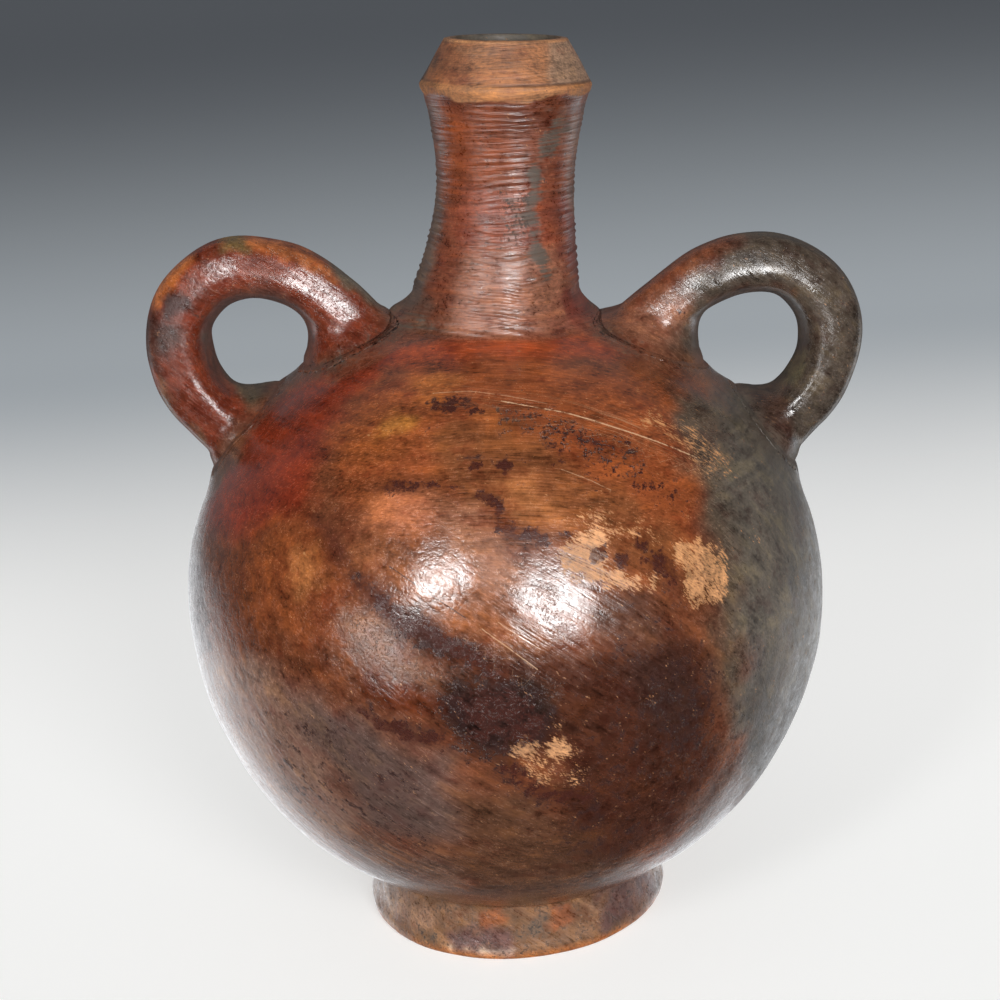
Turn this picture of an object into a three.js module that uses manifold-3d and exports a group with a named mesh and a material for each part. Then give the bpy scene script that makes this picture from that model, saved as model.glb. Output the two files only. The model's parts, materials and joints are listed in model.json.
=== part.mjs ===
// A handled jar of burnished clay: a hollow round body on a low ring foot, a combed neck with a
// bevelled rim, and two loop handles that stand on the shoulder. It was fired as one piece.
// Millimetres, +Z up, front towards -Y, handles along X. The origin is on the surface that it
// stands on, under the middle of its bounding box.
import * as THREE from "three";
import { LoftGeometry } from "three/addons/geometries/LoftGeometry.js";
import { mergeVertices } from "three/addons/utils/BufferGeometryUtils.js";
import Module from "manifold-3d";

// Body: a lower and an upper half ellipse that meet at the widest place
const bodyRadius = 180.7;
const bodyDrop = 183.5; // widest place down to the underside
const shoulderRise = 160; // widest place up to where the shoulder would close
const bodyWall = 8;
const undersideGap = 11.5; // air under the body, inside the foot ring

// Foot: a flared ring, level while the body above it leans
const footRadius = 88.2;
const footTopRadius = 85;
const footRingWidth = 17;
const footBite = 4; // how far the ring is luted into the body's wall
const footEdgeRound = 3;
const leanDeg = 4.1; // the body leans to +X
const footOffset = 8; // the foot stands this far to +X of the body's own axis

// Neck, measured up from where it rises out of the shoulder
const neckBaseRadius = 51;
const neckWaistRadius = 37.4;
const neckWaistHeight = 77;
const neckHeight = 129; // shoulder to the rim's sharp edge
const neckWall = 8;
const flarePower = 1.62; // how quickly the neck widens away from its waist
const neckSway = 6; // the neck's base sits this far to -X of the body's axis
const swayAbove = 45; // height over which the neck comes back to that axis
const swayBelow = 20; // and height over which the shoulder does

// Rim: a cone that closes in from a sharp edge to the lip
const rimEdgeRadius = 46.3;
const rimEdgeFlat = 1; // height of the worn flat along the sharp edge
const rimUndercut = 0.9; // the edge stands proud of the neck by this much
const rimUndercutHeight = 6;
const rimBevelHeight = 22.7;
const lipRadius = 33.3;
const lipWidth = 5;
const lipRound = 1.6;

// Comb ridges round the neck
const ridgePitch = 4.6;
const ridgeDepth = 1.1;
const ridgeWander = 1.4; // how far a ridge climbs and falls on its way round
const wanderTurnDeg = 19; // turn of that climb from one ridge to the next
const wanderFade = 14; // height over which it dies away at the comb's ends
const combTopFade = 0.5; // depth of the topmost ridge, as a share of the lowest

// Handles: a roll of clay bent to a loop over the shoulder. The loop's top is set in from the
// body's edge and up from the shoulder; from there one arc falls to the neck and two to the body
const handleDepth = 43; // front to back
const lowerRootInset = 36; // body's edge in to the lower root
const rootBury = 12; // a root's middle line ends this far under the body's surface
const rootTurn = 45; // length over which the roll's sections turn to lie flat on the body
const handles = [
  {
    side: -1,
    thickness: 35.6,
    inset: 40.7,
    rise: 82.3,
    neckArc: 58.5,
    upperTurnDeg: 44,
    outerArc: 40,
    lowerArc: 52,
    lowerTurnDeg: 40,
    upperRootOut: 16, // neck's base out to the upper root
    upperFillet: { inside: 27, outside: 12, front: 18 }, // width of the clay smoothed round a root
    lowerFillet: { inside: 26, outside: 10, front: 8 },
  },
  {
    side: 1,
    thickness: 33.8,
    inset: 40.2,
    rise: 84.8,
    neckArc: 62,
    upperTurnDeg: 40,
    outerArc: 40.2,
    lowerArc: 55,
    lowerTurnDeg: 44,
    upperRootOut: 10,
    upperFillet: { inside: 30, outside: 12, front: 18 },
    lowerFillet: { inside: 22, outside: 8, front: 18 },
  },
];

// Mesh steps
const cutPast = 5; // how far the hollow's cutter runs on past the lip
const segmentsAround = 36;
const bodySteps = 5; // in each half of the body
const hollowSteps = 4;
const boreSteps = 5;
const handleSegments = 14;
const handleSteps = 26;

const bodyCentreZ = undersideGap + bodyDrop;
const neckBaseZ = bodyCentreZ + heightAtRadius(bodyRadius, shoulderRise, neckBaseRadius);
const neckWaistZ = neckBaseZ + neckWaistHeight;
const rimEdgeZ = neckBaseZ + neckHeight;
const lipZ = rimEdgeZ + rimBevelHeight;
const lean = THREE.MathUtils.degToRad(leanDeg);

const wasm = await Module();
wasm.setup();

// Height over the middle of an ellipse's edge at a distance from its axis
function heightAtRadius(radius, rise, distance) {
  return rise * Math.sqrt(1 - (distance / radius) ** 2);
}

// Turns a closed geometry into a solid that can be joined and cut
function solid(geometry) {
  const bare = new THREE.BufferGeometry().copy(geometry);
  bare.deleteAttribute("normal");
  bare.deleteAttribute("uv");
  const merged = mergeVertices(bare, 1e-3);
  return new wasm.Manifold(
    new wasm.Mesh({
      numProp: 3,
      vertProperties: merged.attributes.position.array,
      triVerts: new Uint32Array(merged.index.array),
    }),
  );
}

// Turns a finished solid back into a geometry
function geometryOf(made) {
  const mesh = made.getMesh();
  return new THREE.BufferGeometry()
    .setAttribute("position", new THREE.BufferAttribute(mesh.vertProperties, 3))
    .setIndex(new THREE.BufferAttribute(mesh.triVerts, 1))
    .toNonIndexed();
}

// Turns a profile of (radius, height) points round the Z axis
function turned(points) {
  return new THREE.LatheGeometry(points, segmentsAround).rotateX(Math.PI / 2);
}

// The neck's radius at a height, without its ridges
function neckRadius(z) {
  const top = z > neckWaistZ;
  const span = top ? rimEdgeZ - neckWaistZ : neckWaistZ - neckBaseZ;
  const end = top ? rimEdgeRadius - rimUndercut : neckBaseRadius;
  return neckWaistRadius + (end - neckWaistRadius) * (Math.abs(z - neckWaistZ) / span) ** flarePower;
}

// Body, neck and rim as one solid profile, from the underside up to the lip
function outerProfile() {
  const shoulderEnd = Math.acos(neckBaseRadius / bodyRadius);
  const path = new THREE.Path()
    .absellipse(0, bodyCentreZ, bodyRadius, bodyDrop, -Math.PI / 2, 0)
    .absellipse(0, bodyCentreZ, bodyRadius, shoulderRise, 0, shoulderEnd);
  const points = path.getPoints(bodySteps);
  const combTop = rimEdgeZ - rimUndercutHeight;
  const ridges = Math.round((combTop - neckBaseZ) / ridgePitch);
  for (let i = 0; i < ridges; i++) {
    const share = i / ridges;
    const depth = ridgeDepth * THREE.MathUtils.lerp(1, combTopFade, share);
    const crest = neckBaseZ + (combTop - neckBaseZ) * (share + 0.5 / ridges);
    const groove = neckBaseZ + (combTop - neckBaseZ) * (share + 1 / ridges);
    points.push(new THREE.Vector2(neckRadius(crest) + depth / 2, crest));
    points.push(new THREE.Vector2(neckRadius(groove) - depth / 2, groove));
  }
  points.push(new THREE.Vector2(rimEdgeRadius, rimEdgeZ - rimEdgeFlat));
  points.push(new THREE.Vector2(rimEdgeRadius, rimEdgeZ));
  const bevelSlope = (rimEdgeRadius - lipRadius) / rimBevelHeight;
  points.push(new THREE.Vector2(lipRadius + lipRound * bevelSlope, lipZ - lipRound));
  points.push(new THREE.Vector2(lipRadius - lipRound, lipZ));
  points.push(new THREE.Vector2(0, lipZ));
  return points;
}

// The hollow, from inside the underside up through the neck and out of the mouth
function hollowProfile() {
  const radius = bodyRadius - bodyWall;
  const rise = shoulderRise - bodyWall;
  const boreBase = neckBaseRadius - neckWall;
  const path = new THREE.Path()
    .absellipse(0, bodyCentreZ, radius, bodyDrop - bodyWall, -Math.PI / 2, 0)
    .absellipse(0, bodyCentreZ, radius, rise, 0, Math.acos(boreBase / radius));
  const points = path.getPoints(hollowSteps);
  const boreStart = bodyCentreZ + heightAtRadius(radius, rise, boreBase);
  for (let i = 1; i <= boreSteps; i++) {
    const z = THREE.MathUtils.lerp(boreStart, rimEdgeZ, i / boreSteps);
    points.push(new THREE.Vector2(neckRadius(z) - neckWall, z));
  }
  const mouth = lipRadius - lipWidth;
  points.push(new THREE.Vector2(mouth, lipZ - lipRound));
  points.push(new THREE.Vector2(mouth, lipZ + cutPast));
  points.push(new THREE.Vector2(0, lipZ + cutPast));
  return points;
}

// The foot ring, stood level, up into the body's wall
function footProfile() {
  const bodyAbove = bodyCentreZ - heightAtRadius(bodyRadius, bodyDrop, footTopRadius);
  const top = bodyAbove + footTopRadius * Math.tan(lean) + footBite;
  const inner = footRadius - footRingWidth;
  return new THREE.Path()
    .moveTo(inner + footEdgeRound, 0)
    .lineTo(footRadius - footEdgeRound, 0)
    .absarc(footRadius - footEdgeRound, footEdgeRound, footEdgeRound, -Math.PI / 2, 0)
    .lineTo(footTopRadius, top)
    .lineTo(inner, top)
    .lineTo(inner, footEdgeRound)
    .lineTo(inner + footEdgeRound, 0)
    .getPoints(1);
}

// Lets the comb ridges climb and fall round the neck, and sets the neck's base to one side
function handBuilt(geometry) {
  const at = geometry.attributes.position;
  const combTop = rimEdgeZ - rimUndercutHeight;
  for (let i = 0; i < at.count; i++) {
    const z = at.getZ(i);
    const angle = Math.atan2(at.getY(i), at.getX(i));
    const turn = THREE.MathUtils.degToRad(wanderTurnDeg) * (z / ridgePitch);
    const inComb = THREE.MathUtils.smoothstep(z, neckBaseZ, neckBaseZ + wanderFade)
      - THREE.MathUtils.smoothstep(z, combTop - wanderFade, combTop);
    at.setZ(i, z + ridgeWander * inComb * Math.sin(angle + turn));
    const reach = z > neckBaseZ ? swayAbove : swayBelow;
    at.setX(i, at.getX(i) - neckSway * Math.exp(-(((z - neckBaseZ) / reach) ** 2)));
  }
  return geometry;
}

// The middle line of a handle, in the plane of the jar's axis: root, three arcs, root
function handleLine(each) {
  const surface = (x) => bodyCentreZ + heightAtRadius(bodyRadius, shoulderRise, x);
  const buried = (x) => new THREE.Vector2(x, surface(x) - rootBury);
  const upperTurn = THREE.MathUtils.degToRad(each.upperTurnDeg);
  const lowerTurn = THREE.MathUtils.degToRad(each.lowerTurnDeg);
  const topX = bodyRadius - each.inset;
  const topZ = surface(topX) + each.rise;
  const { neckArc, outerArc, lowerArc } = each;
  const upperRoot = buried(neckBaseRadius + each.upperRootOut);
  const lowerRoot = buried(bodyRadius - lowerRootInset);
  return new THREE.Path()
    .moveTo(upperRoot.x, upperRoot.y)
    .lineTo(topX - neckArc * Math.sin(upperTurn), topZ - neckArc * (1 - Math.cos(upperTurn)))
    .absarc(topX, topZ - neckArc, neckArc, Math.PI / 2 + upperTurn, Math.PI / 2, true)
    .absarc(topX, topZ - outerArc, outerArc, Math.PI / 2, 0, true)
    .absarc(topX + outerArc - lowerArc, topZ - outerArc, lowerArc, 0, -lowerTurn, true)
    .lineTo(lowerRoot.x, lowerRoot.y);
}

// How far a point is off the body's shoulder, and which way the shoulder faces there
function offShoulder(point) {
  const radii = new THREE.Vector3(bodyRadius, bodyRadius, shoulderRise);
  const scaled = point.clone().setZ(point.z - bodyCentreZ).divide(radii);
  const normal = scaled.clone().divide(radii);
  const distance = ((scaled.length() - 1) * scaled.length()) / normal.length();
  return { distance, normal: normal.normalize() };
}

// One handle: an oval section carried along the line, with clay smoothed round both roots
function handle(each) {
  const line = handleLine(each);
  const length = line.getLength();
  const sections = [];
  for (let i = 0; i <= handleSteps; i++) {
    const even = i / handleSteps;
    const share = (even + (1 - Math.cos(Math.PI * even)) / 2) / 2;
    const upper = share < 0.5;
    const flat = line.getPointAt(share);
    const middle = new THREE.Vector3(flat.x, 0, flat.y);
    const heading = line.getTangentAt(share);
    const along = new THREE.Vector3(heading.x, 0, heading.y);
    const end = line.getPointAt(upper ? 0 : 1);
    const { normal } = offShoulder(new THREE.Vector3(end.x, 0, end.y));
    const fromEnd = Math.min(share, 1 - share) * length;
    const laid = 1 - THREE.MathUtils.smoothstep(fromEnd, rootBury, rootBury + rootTurn);
    const facing = along.clone().lerp(normal.multiplyScalar(upper ? 1 : -1), laid).normalize();
    const across = new THREE.Vector3(-facing.z, 0, facing.x).divideScalar(facing.dot(along));
    const root = upper ? each.upperFillet : each.lowerFillet;
    const section = [];
    for (let j = 0; j < handleSegments; j++) {
      const turn = (-each.side * j * 2 * Math.PI) / handleSegments;
      const offset = across.clone().multiplyScalar((each.thickness / 2) * Math.cos(turn));
      offset.setY((handleDepth / 2) * Math.sin(turn));
      const point = middle.clone().add(offset);
      const shoulder = offShoulder(point);
      const side = Math.cos(turn) < 0 ? root.inside : root.outside;
      const width = THREE.MathUtils.lerp(root.front, side, Math.cos(turn) ** 2);
      const near = THREE.MathUtils.clamp(1 - shoulder.distance / width, 0, 1);
      const push = offset.normalize().projectOnPlane(shoulder.normal);
      point.addScaledVector(push, width * near ** 2);
      section.push(point.setX(each.side * point.x));
    }
    sections.push(section);
  }
  return new LoftGeometry(sections, { capStart: true, capEnd: true });
}

function jar() {
  const leaned = (geometry) => geometry.rotateY(lean).translate(-footOffset, 0, 0);
  let clay = solid(leaned(handBuilt(turned(outerProfile()))));
  for (const each of handles) clay = clay.add(solid(leaned(handle(each))));
  clay = clay.add(solid(turned(footProfile())));
  clay = clay.subtract(solid(leaned(handBuilt(turned(hollowProfile())))));
  const mesh = new THREE.Mesh(geometryOf(clay), new THREE.MeshStandardMaterial({
    color: 0x7a4128,
    roughness: 0.38,
    metalness: 0,
  }));
  mesh.name = "jar";
  return mesh;
}

const model = new THREE.Group();
const vessel = jar();
vessel.geometry.computeBoundingBox();
const box = vessel.geometry.boundingBox;
vessel.position.set(-(box.min.x + box.max.x) / 2, -(box.min.y + box.max.y) / 2, -box.min.z);
model.add(vessel);

export default model;
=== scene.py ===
import json
import math

import bmesh
import bpy
import numpy as np
from mathutils import Matrix, Vector


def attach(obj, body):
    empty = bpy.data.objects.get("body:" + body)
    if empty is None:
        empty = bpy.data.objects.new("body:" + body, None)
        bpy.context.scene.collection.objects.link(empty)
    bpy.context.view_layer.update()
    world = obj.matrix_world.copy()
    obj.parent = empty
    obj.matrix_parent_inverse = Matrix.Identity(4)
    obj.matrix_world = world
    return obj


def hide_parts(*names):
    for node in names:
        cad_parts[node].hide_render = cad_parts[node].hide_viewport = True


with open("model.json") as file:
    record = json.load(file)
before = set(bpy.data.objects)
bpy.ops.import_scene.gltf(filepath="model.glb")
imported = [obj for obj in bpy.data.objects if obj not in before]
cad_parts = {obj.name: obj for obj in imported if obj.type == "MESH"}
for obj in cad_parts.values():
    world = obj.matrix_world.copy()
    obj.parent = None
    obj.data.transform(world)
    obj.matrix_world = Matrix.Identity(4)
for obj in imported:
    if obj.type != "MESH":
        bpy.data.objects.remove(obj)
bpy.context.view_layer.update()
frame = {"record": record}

mm = 0.001

# Camera, fitted to the foot's, the body's and the mouth's outline. The photograph is turned a little
view = dict(
    side=1000, # of the picture, in pixels
    focal=1884, # in pixels
    sensor=36,
    pitch=math.radians(17.33),
    roll=math.radians(4.28),
    aside=6.4, # to +X of the foot's middle
    back=1020.5,
    height=562.6,
)

# A lower and an upper half ellipse that meet at the widest place
body = dict(radius=180.7, drop=183.5, rise=160, wall=8, underside=11.5)
lean = math.radians(4.1)

foot = dict(radius=88.2, topRadius=85, ringWidth=17, bite=4, edgeRound=3, offset=8)

neck = dict(baseRadius=51, waistRadius=37.4, waistHeight=77, height=129, wall=8, flarePower=1.62,
            sway=6, swayAbove=45, swayBelow=20)

rim = dict(edgeRadius=46.3, undercut=0.9, undercutHeight=6, bevelHeight=22.7,
           lipRadius=33.3, lipWidth=5, lipRound=1.6)

handleRoll = dict(
    depth=43,
    lowerRootInset=36,
    bury=12,
    turn=45,
    inWall=5.2, # a root ends this deep, inside the wall's thickness
    around=60,
    along=104,
)
handles = [
    dict(side=-1, thickness=35.6, inset=40.7, rise=82.3, neckArc=58.5, upperTurn=44, outerArc=40,
         lowerArc=52, lowerTurn=40, upperRootOut=16, upperFillet=(27, 12, 18), lowerFillet=(26, 10, 8),
         pulledIn=0.2, flatness=0.056, faceTurn=72),
    dict(side=1, thickness=33.8, inset=40.2, rise=84.8, neckArc=62, upperTurn=40, outerArc=40.2,
         lowerArc=55, lowerTurn=44, upperRootOut=10, upperFillet=(30, 12, 18), lowerFillet=(22, 8, 18),
         pulledIn=1.0, flatness=0.048, faceTurn=70),
]

footX = frame["record"]["mounts"][0]["pos_m"][0] / mm
bodyCentreZ = body["underside"] + body["drop"]


def heightAtRadius(radius, rise, distance):
    return rise * math.sqrt(1 - (distance / radius) ** 2)


neckBaseZ = bodyCentreZ + heightAtRadius(body["radius"], body["rise"], neck["baseRadius"])
neckWaistZ = neckBaseZ + neck["waistHeight"]
rimEdgeZ = neckBaseZ + neck["height"]
combTop = rimEdgeZ - rim["undercutHeight"]
lipZ = rimEdgeZ + rim["bevelHeight"]


# The pot's own upright axes to the axes that it stands in, and back
def stood(points):
    x, y, z = points.T
    return np.column_stack((x * math.cos(lean) + z * math.sin(lean) - foot["offset"] + footX, y,
                            z * math.cos(lean) - x * math.sin(lean)))


def upright(points):
    x, y, z = points.T
    x = x + foot["offset"] - footX
    return np.column_stack((x * math.cos(lean) - z * math.sin(lean), y,
                            z * math.cos(lean) + x * math.sin(lean)))


def smoothstep(low, high, value):
    share = np.clip((value - low) / (high - low), 0, 1)
    return share * share * (3 - 2 * share)


# A smooth random field of about -1 to 1, with features of one size and some of half that
def wobble(points, size, seed, octaves=2):
    draw = np.random.default_rng(seed)
    total = np.zeros(len(points))
    for octave in range(octaves):
        ways = draw.normal(size=(9, 3))
        ways /= np.linalg.norm(ways, axis=1)[:, None]
        reach = math.tau * 2 ** octave / size * draw.uniform(0.6, 1.1, 9)
        phases = draw.uniform(0, math.tau, 9)
        total += np.sin(points @ (ways * reach[:, None]).T + phases).sum(axis=1) / 3.4 * 0.5 ** octave
    return np.clip(total / 1.4, -1.4, 1.4)


print("camera")
camera = bpy.data.objects.new("photographView", bpy.data.cameras.new("photographView"))
bpy.context.scene.collection.objects.link(camera)
camera.data.sensor_width = view["sensor"]
camera.data.lens = view["focal"] * view["sensor"] / view["side"]
camera.data.clip_end = 60
cameraPlace = Vector((footX + view["aside"], -view["back"], view["height"]))
camera.matrix_world = (Matrix.Translation(cameraPlace * mm)
                       @ Matrix.Rotation(math.pi / 2 - view["pitch"], 4, "X")
                       @ Matrix.Rotation(-view["roll"], 4, "Z"))
bpy.context.scene.camera = camera
lookAlong = np.array((0, math.cos(view["pitch"]), -math.sin(view["pitch"])))
lookUp = np.array((0, math.sin(view["pitch"]), math.cos(view["pitch"])))
lookRight = np.array((1.0, 0, 0))
eye = upright(np.array([cameraPlace]))[0]


# Where points of the standing pot come in the picture
def inPicture(points):
    offset = points - np.array(cameraPlace)
    depth = offset @ lookAlong
    x = view["focal"] * (offset @ lookRight) / depth
    y = -view["focal"] * (offset @ lookUp) / depth
    middle = view["side"] / 2
    return np.column_stack((middle + math.cos(view["roll"]) * x + math.sin(view["roll"]) * y,
                            middle - math.sin(view["roll"]) * x + math.cos(view["roll"]) * y))


# The body's wall laid out flat round the point that faces the camera, in millimetres along the wall
bodyCentre = np.array((0, 0, bodyCentreZ))
rounder = np.array((body["radius"], body["radius"], body["rise"]))
facing = (eye - bodyCentre) / rounder
facing /= np.linalg.norm(facing)
flatRight = np.cross((0, 0, 1), facing) * -1
flatRight /= np.linalg.norm(flatRight)
if flatRight[0] < 0:
    flatRight *= -1
flatUp = np.cross(flatRight, -facing) * -1
if flatUp[2] < 0:
    flatUp *= -1


def laidFlat(directions):
    turn = np.arccos(np.clip(directions @ facing, -1, 1))
    right = directions @ flatRight
    up = directions @ flatUp
    length = np.maximum(np.hypot(right, up), 1e-9)
    return np.column_stack((right, up)) * (body["radius"] * turn / length)[:, None]


def bodyDirections(points):
    offset = points - bodyCentre
    radii = np.where(offset[:, 2:] > 0, (body["radius"], body["radius"], body["rise"]),
                     (body["radius"], body["radius"], body["drop"]))
    offset = offset / radii
    return offset / np.linalg.norm(offset, axis=1)[:, None]


# Photograph pixels to places on the laid-out wall. A pixel off the outline lands round the back
def ontoWall(pixels):
    beyondTurn = 3
    found = []
    for px, py in pixels:
        across, down = px - view["side"] / 2, py - view["side"] / 2
        x = math.cos(view["roll"]) * across - math.sin(view["roll"]) * down
        y = math.sin(view["roll"]) * across + math.cos(view["roll"]) * down
        ray = lookAlong + x / view["focal"] * lookRight - y / view["focal"] * lookUp
        way = upright(np.array([ray + np.array(cameraPlace)]))[0] - eye
        hits = []
        for rise, sign in ((body["rise"], 1), (body["drop"], -1)):
            radii = np.array((body["radius"], body["radius"], rise))
            start, step = (eye - bodyCentre) / radii, way / radii
            nearest = -(start @ step) / (step @ step)
            closest = start + nearest * step
            missed = 1 - closest @ closest
            if missed > 0:
                hit = start + (nearest - math.sqrt(missed / (step @ step))) * step
                if hit[2] * sign >= -1e-6:
                    hits.append(laidFlat(hit[None])[0])
            elif closest[2] * sign >= 0:
                size = np.linalg.norm(closest)
                edge = laidFlat(closest[None] / size)[0]
                reach = np.linalg.norm(edge)
                hits.append(edge * (1 + (size - 1) * beyondTurn * body["radius"] / reach))
        found.append(hits[0])
    return np.array(found)


# Signed distance to a closed outline, over zero inside
def insideOutline(points, outline):
    inside = np.zeros(len(points), bool)
    nearest = np.full(len(points), 1e9)
    for (ax, ay), (bx, by) in zip(outline, np.roll(outline, -1, axis=0)):
        ex, ey = bx - ax, by - ay
        px, py = points[:, 0] - ax, points[:, 1] - ay
        share = np.clip((px * ex + py * ey) / (ex * ex + ey * ey), 0, 1)
        nearest = np.minimum(nearest, np.hypot(px - share * ex, py - share * ey))
        if ey != 0:
            crosses = ((points[:, 1] < ay) != (points[:, 1] < by)) & (px < py * ex / ey)
            inside ^= crosses
    return np.where(inside, nearest, -nearest)


# Distance along an open line and signed distance to its side
def besideLine(points, line):
    nearest = np.full(len(points), 1e9)
    along = np.zeros(len(points))
    signed = np.zeros(len(points))
    run = 0
    for (ax, ay), (bx, by) in zip(line[:-1], line[1:]):
        length = math.hypot(bx - ax, by - ay)
        ux, uy = (bx - ax) / length, (by - ay) / length
        px, py = points[:, 0] - ax, points[:, 1] - ay
        reach = np.clip(px * ux + py * uy, 0, length)
        distance = np.hypot(px - reach * ux, py - reach * uy)
        closer = distance < nearest
        nearest = np.where(closer, distance, nearest)
        along = np.where(closer, run + reach, along)
        signed = np.where(closer, np.sign(ux * py - uy * px) * distance, signed)
        run += length
    return signed, along, run


print("clay")


# The neck's radius at a height, without its ridges
def neckRadius(z):
    above = z > neckWaistZ
    span = np.where(above, rimEdgeZ - neckWaistZ, neckWaistZ - neckBaseZ)
    end = np.where(above, rim["edgeRadius"] - rim["undercut"], neck["baseRadius"])
    flare = (np.abs(z - neckWaistZ) / span) ** neck["flarePower"]
    return neck["waistRadius"] + (end - neck["waistRadius"]) * flare


def ellipseArc(radius, rise, start, end, steps):
    turns = np.linspace(start, end, steps)
    return np.column_stack((radius * np.cos(turns), bodyCentreZ + rise * np.sin(turns)))


def circleArc(x, z, radius, start, end, steps=9):
    turns = np.radians(np.linspace(start, end, steps))
    return np.column_stack((x + radius * np.cos(turns), z + radius * np.sin(turns)))


# Walks a profile of (radius, height) points with a step that changes from place to place
def evenly(profile, stepAt):
    gaps = np.linalg.norm(np.diff(profile, axis=0), axis=1)
    run = np.concatenate(([0], np.cumsum(gaps)))
    places = [0.0]
    while places[-1] < run[-1]:
        here = np.array([np.interp(places[-1], run, profile[:, i]) for i in (0, 1)])
        places.append(places[-1] + stepAt(*here))
    if run[-1] - places[-2] < 0.4 * (places[-1] - places[-2]):
        places.pop()
    places = np.array(places) * (run[-1] / places[-1])
    return np.column_stack([np.interp(places, run, profile[:, i]) for i in (0, 1)])


# Rounds a finely stepped profile between two heights
def eased(profile, low, high, passes):
    for _ in range(passes):
        share = smoothstep(low, low + 3, profile[:, 1]) * (1 - smoothstep(high - 3, high, profile[:, 1]))
        share *= profile[:, 0] < body["radius"] * 0.5
        moved = profile.copy()
        moved[1:-1] = (profile[:-2] + profile[2:]) / 2
        profile = profile + (moved - profile) * (share * 0.7)[:, None]
    return profile


def outerProfile():
    shoulderEnd = math.acos(neck["baseRadius"] / body["radius"])
    heights = np.arange(neckBaseZ, combTop, 0.4)[1:]
    bevel = math.degrees(math.atan2(rim["bevelHeight"], rim["edgeRadius"] - rim["lipRadius"]))
    edge = 1.1
    wall = np.concatenate((
        ellipseArc(body["radius"], body["drop"], -math.pi / 2, 0, 420),
        ellipseArc(body["radius"], body["rise"], 0, shoulderEnd, 420)[1:],
        np.column_stack((neckRadius(heights), heights)),
        [(rim["edgeRadius"] - 0.5, rimEdgeZ - 3.2)],
        circleArc(rim["edgeRadius"] - edge, rimEdgeZ - 1.2, edge, -25, 90 - bevel),
        circleArc(rim["lipRadius"] - rim["lipRound"], lipZ - rim["lipRound"], rim["lipRound"], 90 - bevel, 90),
        [(0, lipZ)],
    ))
    return eased(wall, neckBaseZ - 9, neckBaseZ + 8, 120)


def outerStep(radius, z):
    if z > lipZ - 0.01:
        return 3 if radius > rim["lipRadius"] - rim["lipWidth"] - 3 else 12
    if z > rimEdgeZ - 4:
        return 0.8
    if z > neckBaseZ - 7 and radius < neck["baseRadius"] + 7:
        return 0.62
    if z < body["underside"] + 16:
        return 7
    return 4.2


def hollowProfile():
    radius, rise = body["radius"] - body["wall"], body["rise"] - body["wall"]
    boreBase = neck["baseRadius"] - neck["wall"]
    boreStart = bodyCentreZ + heightAtRadius(radius, rise, boreBase)
    heights = np.linspace(boreStart, rimEdgeZ, 60)[1:]
    mouth = rim["lipRadius"] - rim["lipWidth"]
    innerRound = 1.5
    return np.concatenate((
        ellipseArc(radius, body["drop"] - body["wall"], -math.pi / 2, 0, 200),
        ellipseArc(radius, rise, 0, math.acos(boreBase / radius), 200)[1:],
        np.column_stack((neckRadius(heights) - neck["wall"], heights)),
        circleArc(mouth + innerRound, lipZ - innerRound, innerRound, 180, 90),
        [(mouth + innerRound, lipZ + 5), (0, lipZ + 5)],
    ))


def hollowStep(radius, z):
    if z > lipZ - 4:
        return 1.2
    return 4.5 if z > neckBaseZ - 6 else 9


# Sets two rings of points together with quads, or with triangles where their counts differ
def stitch(faces, lower, lowerCount, upper, upperCount):
    if lowerCount == upperCount:
        for i in range(lowerCount):
            j = (i + 1) % lowerCount
            faces.append((lower + i, lower + j, upper + j, upper + i))
        return
    i = j = 0
    while i < lowerCount or j < upperCount:
        a, b = lower + i % lowerCount, upper + j % upperCount
        if j == upperCount or (i < lowerCount and (i + 1) * upperCount <= (j + 1) * lowerCount):
            faces.append((a, lower + (i + 1) % lowerCount, b))
            i += 1
        else:
            faces.append((a, upper + (j + 1) % upperCount, b))
            j += 1


# Turns a profile that starts and ends on the axis. Each ring has its own count of points
def turned(profile, countAt):
    points = [np.array([[0, 0, profile[0][1]]])]
    faces = []
    rings = []
    start = 1
    for radius, z in profile[1:-1]:
        count = countAt(radius, z)
        angles = np.arange(count) * math.tau / count
        points.append(np.column_stack((radius * np.cos(angles), radius * np.sin(angles),
                                       np.full(count, z))))
        rings.append((start, count))
        start += count
    points.append(np.array([[0, 0, profile[-1][1]]]))
    for (low, lowCount), (high, highCount) in zip(rings[:-1], rings[1:]):
        stitch(faces, low, lowCount, high, highCount)
    first, firstCount = rings[0]
    last, lastCount = rings[-1]
    faces += [(0, first + (i + 1) % firstCount, first + i) for i in range(firstCount)]
    faces += [(start, last + i, last + (i + 1) % lastCount) for i in range(lastCount)]
    return np.concatenate(points), faces


def outerCount(radius, z):
    if radius < 12:
        return 24
    if radius < 34 and z > rimEdgeZ:
        return 160 if radius > rim["lipRadius"] - rim["lipWidth"] - 4 else 40
    if z > neckBaseZ - 6 and radius < neck["baseRadius"] + 6:
        return 160
    if radius < 60 and z < bodyCentreZ:
        return 80
    return 256


def hollowCount(radius, z):
    if radius < 20 and z < bodyCentreZ:
        return 24
    return 96


# Thin crests of clay left standing between the comb's lines, closer and lower towards the rim
combLines = dict(pitchLow=4.2, pitchHigh=3.3, depth=0.72, crestPower=2.4, fineDepth=0.14, fineLines=2.37)


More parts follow.
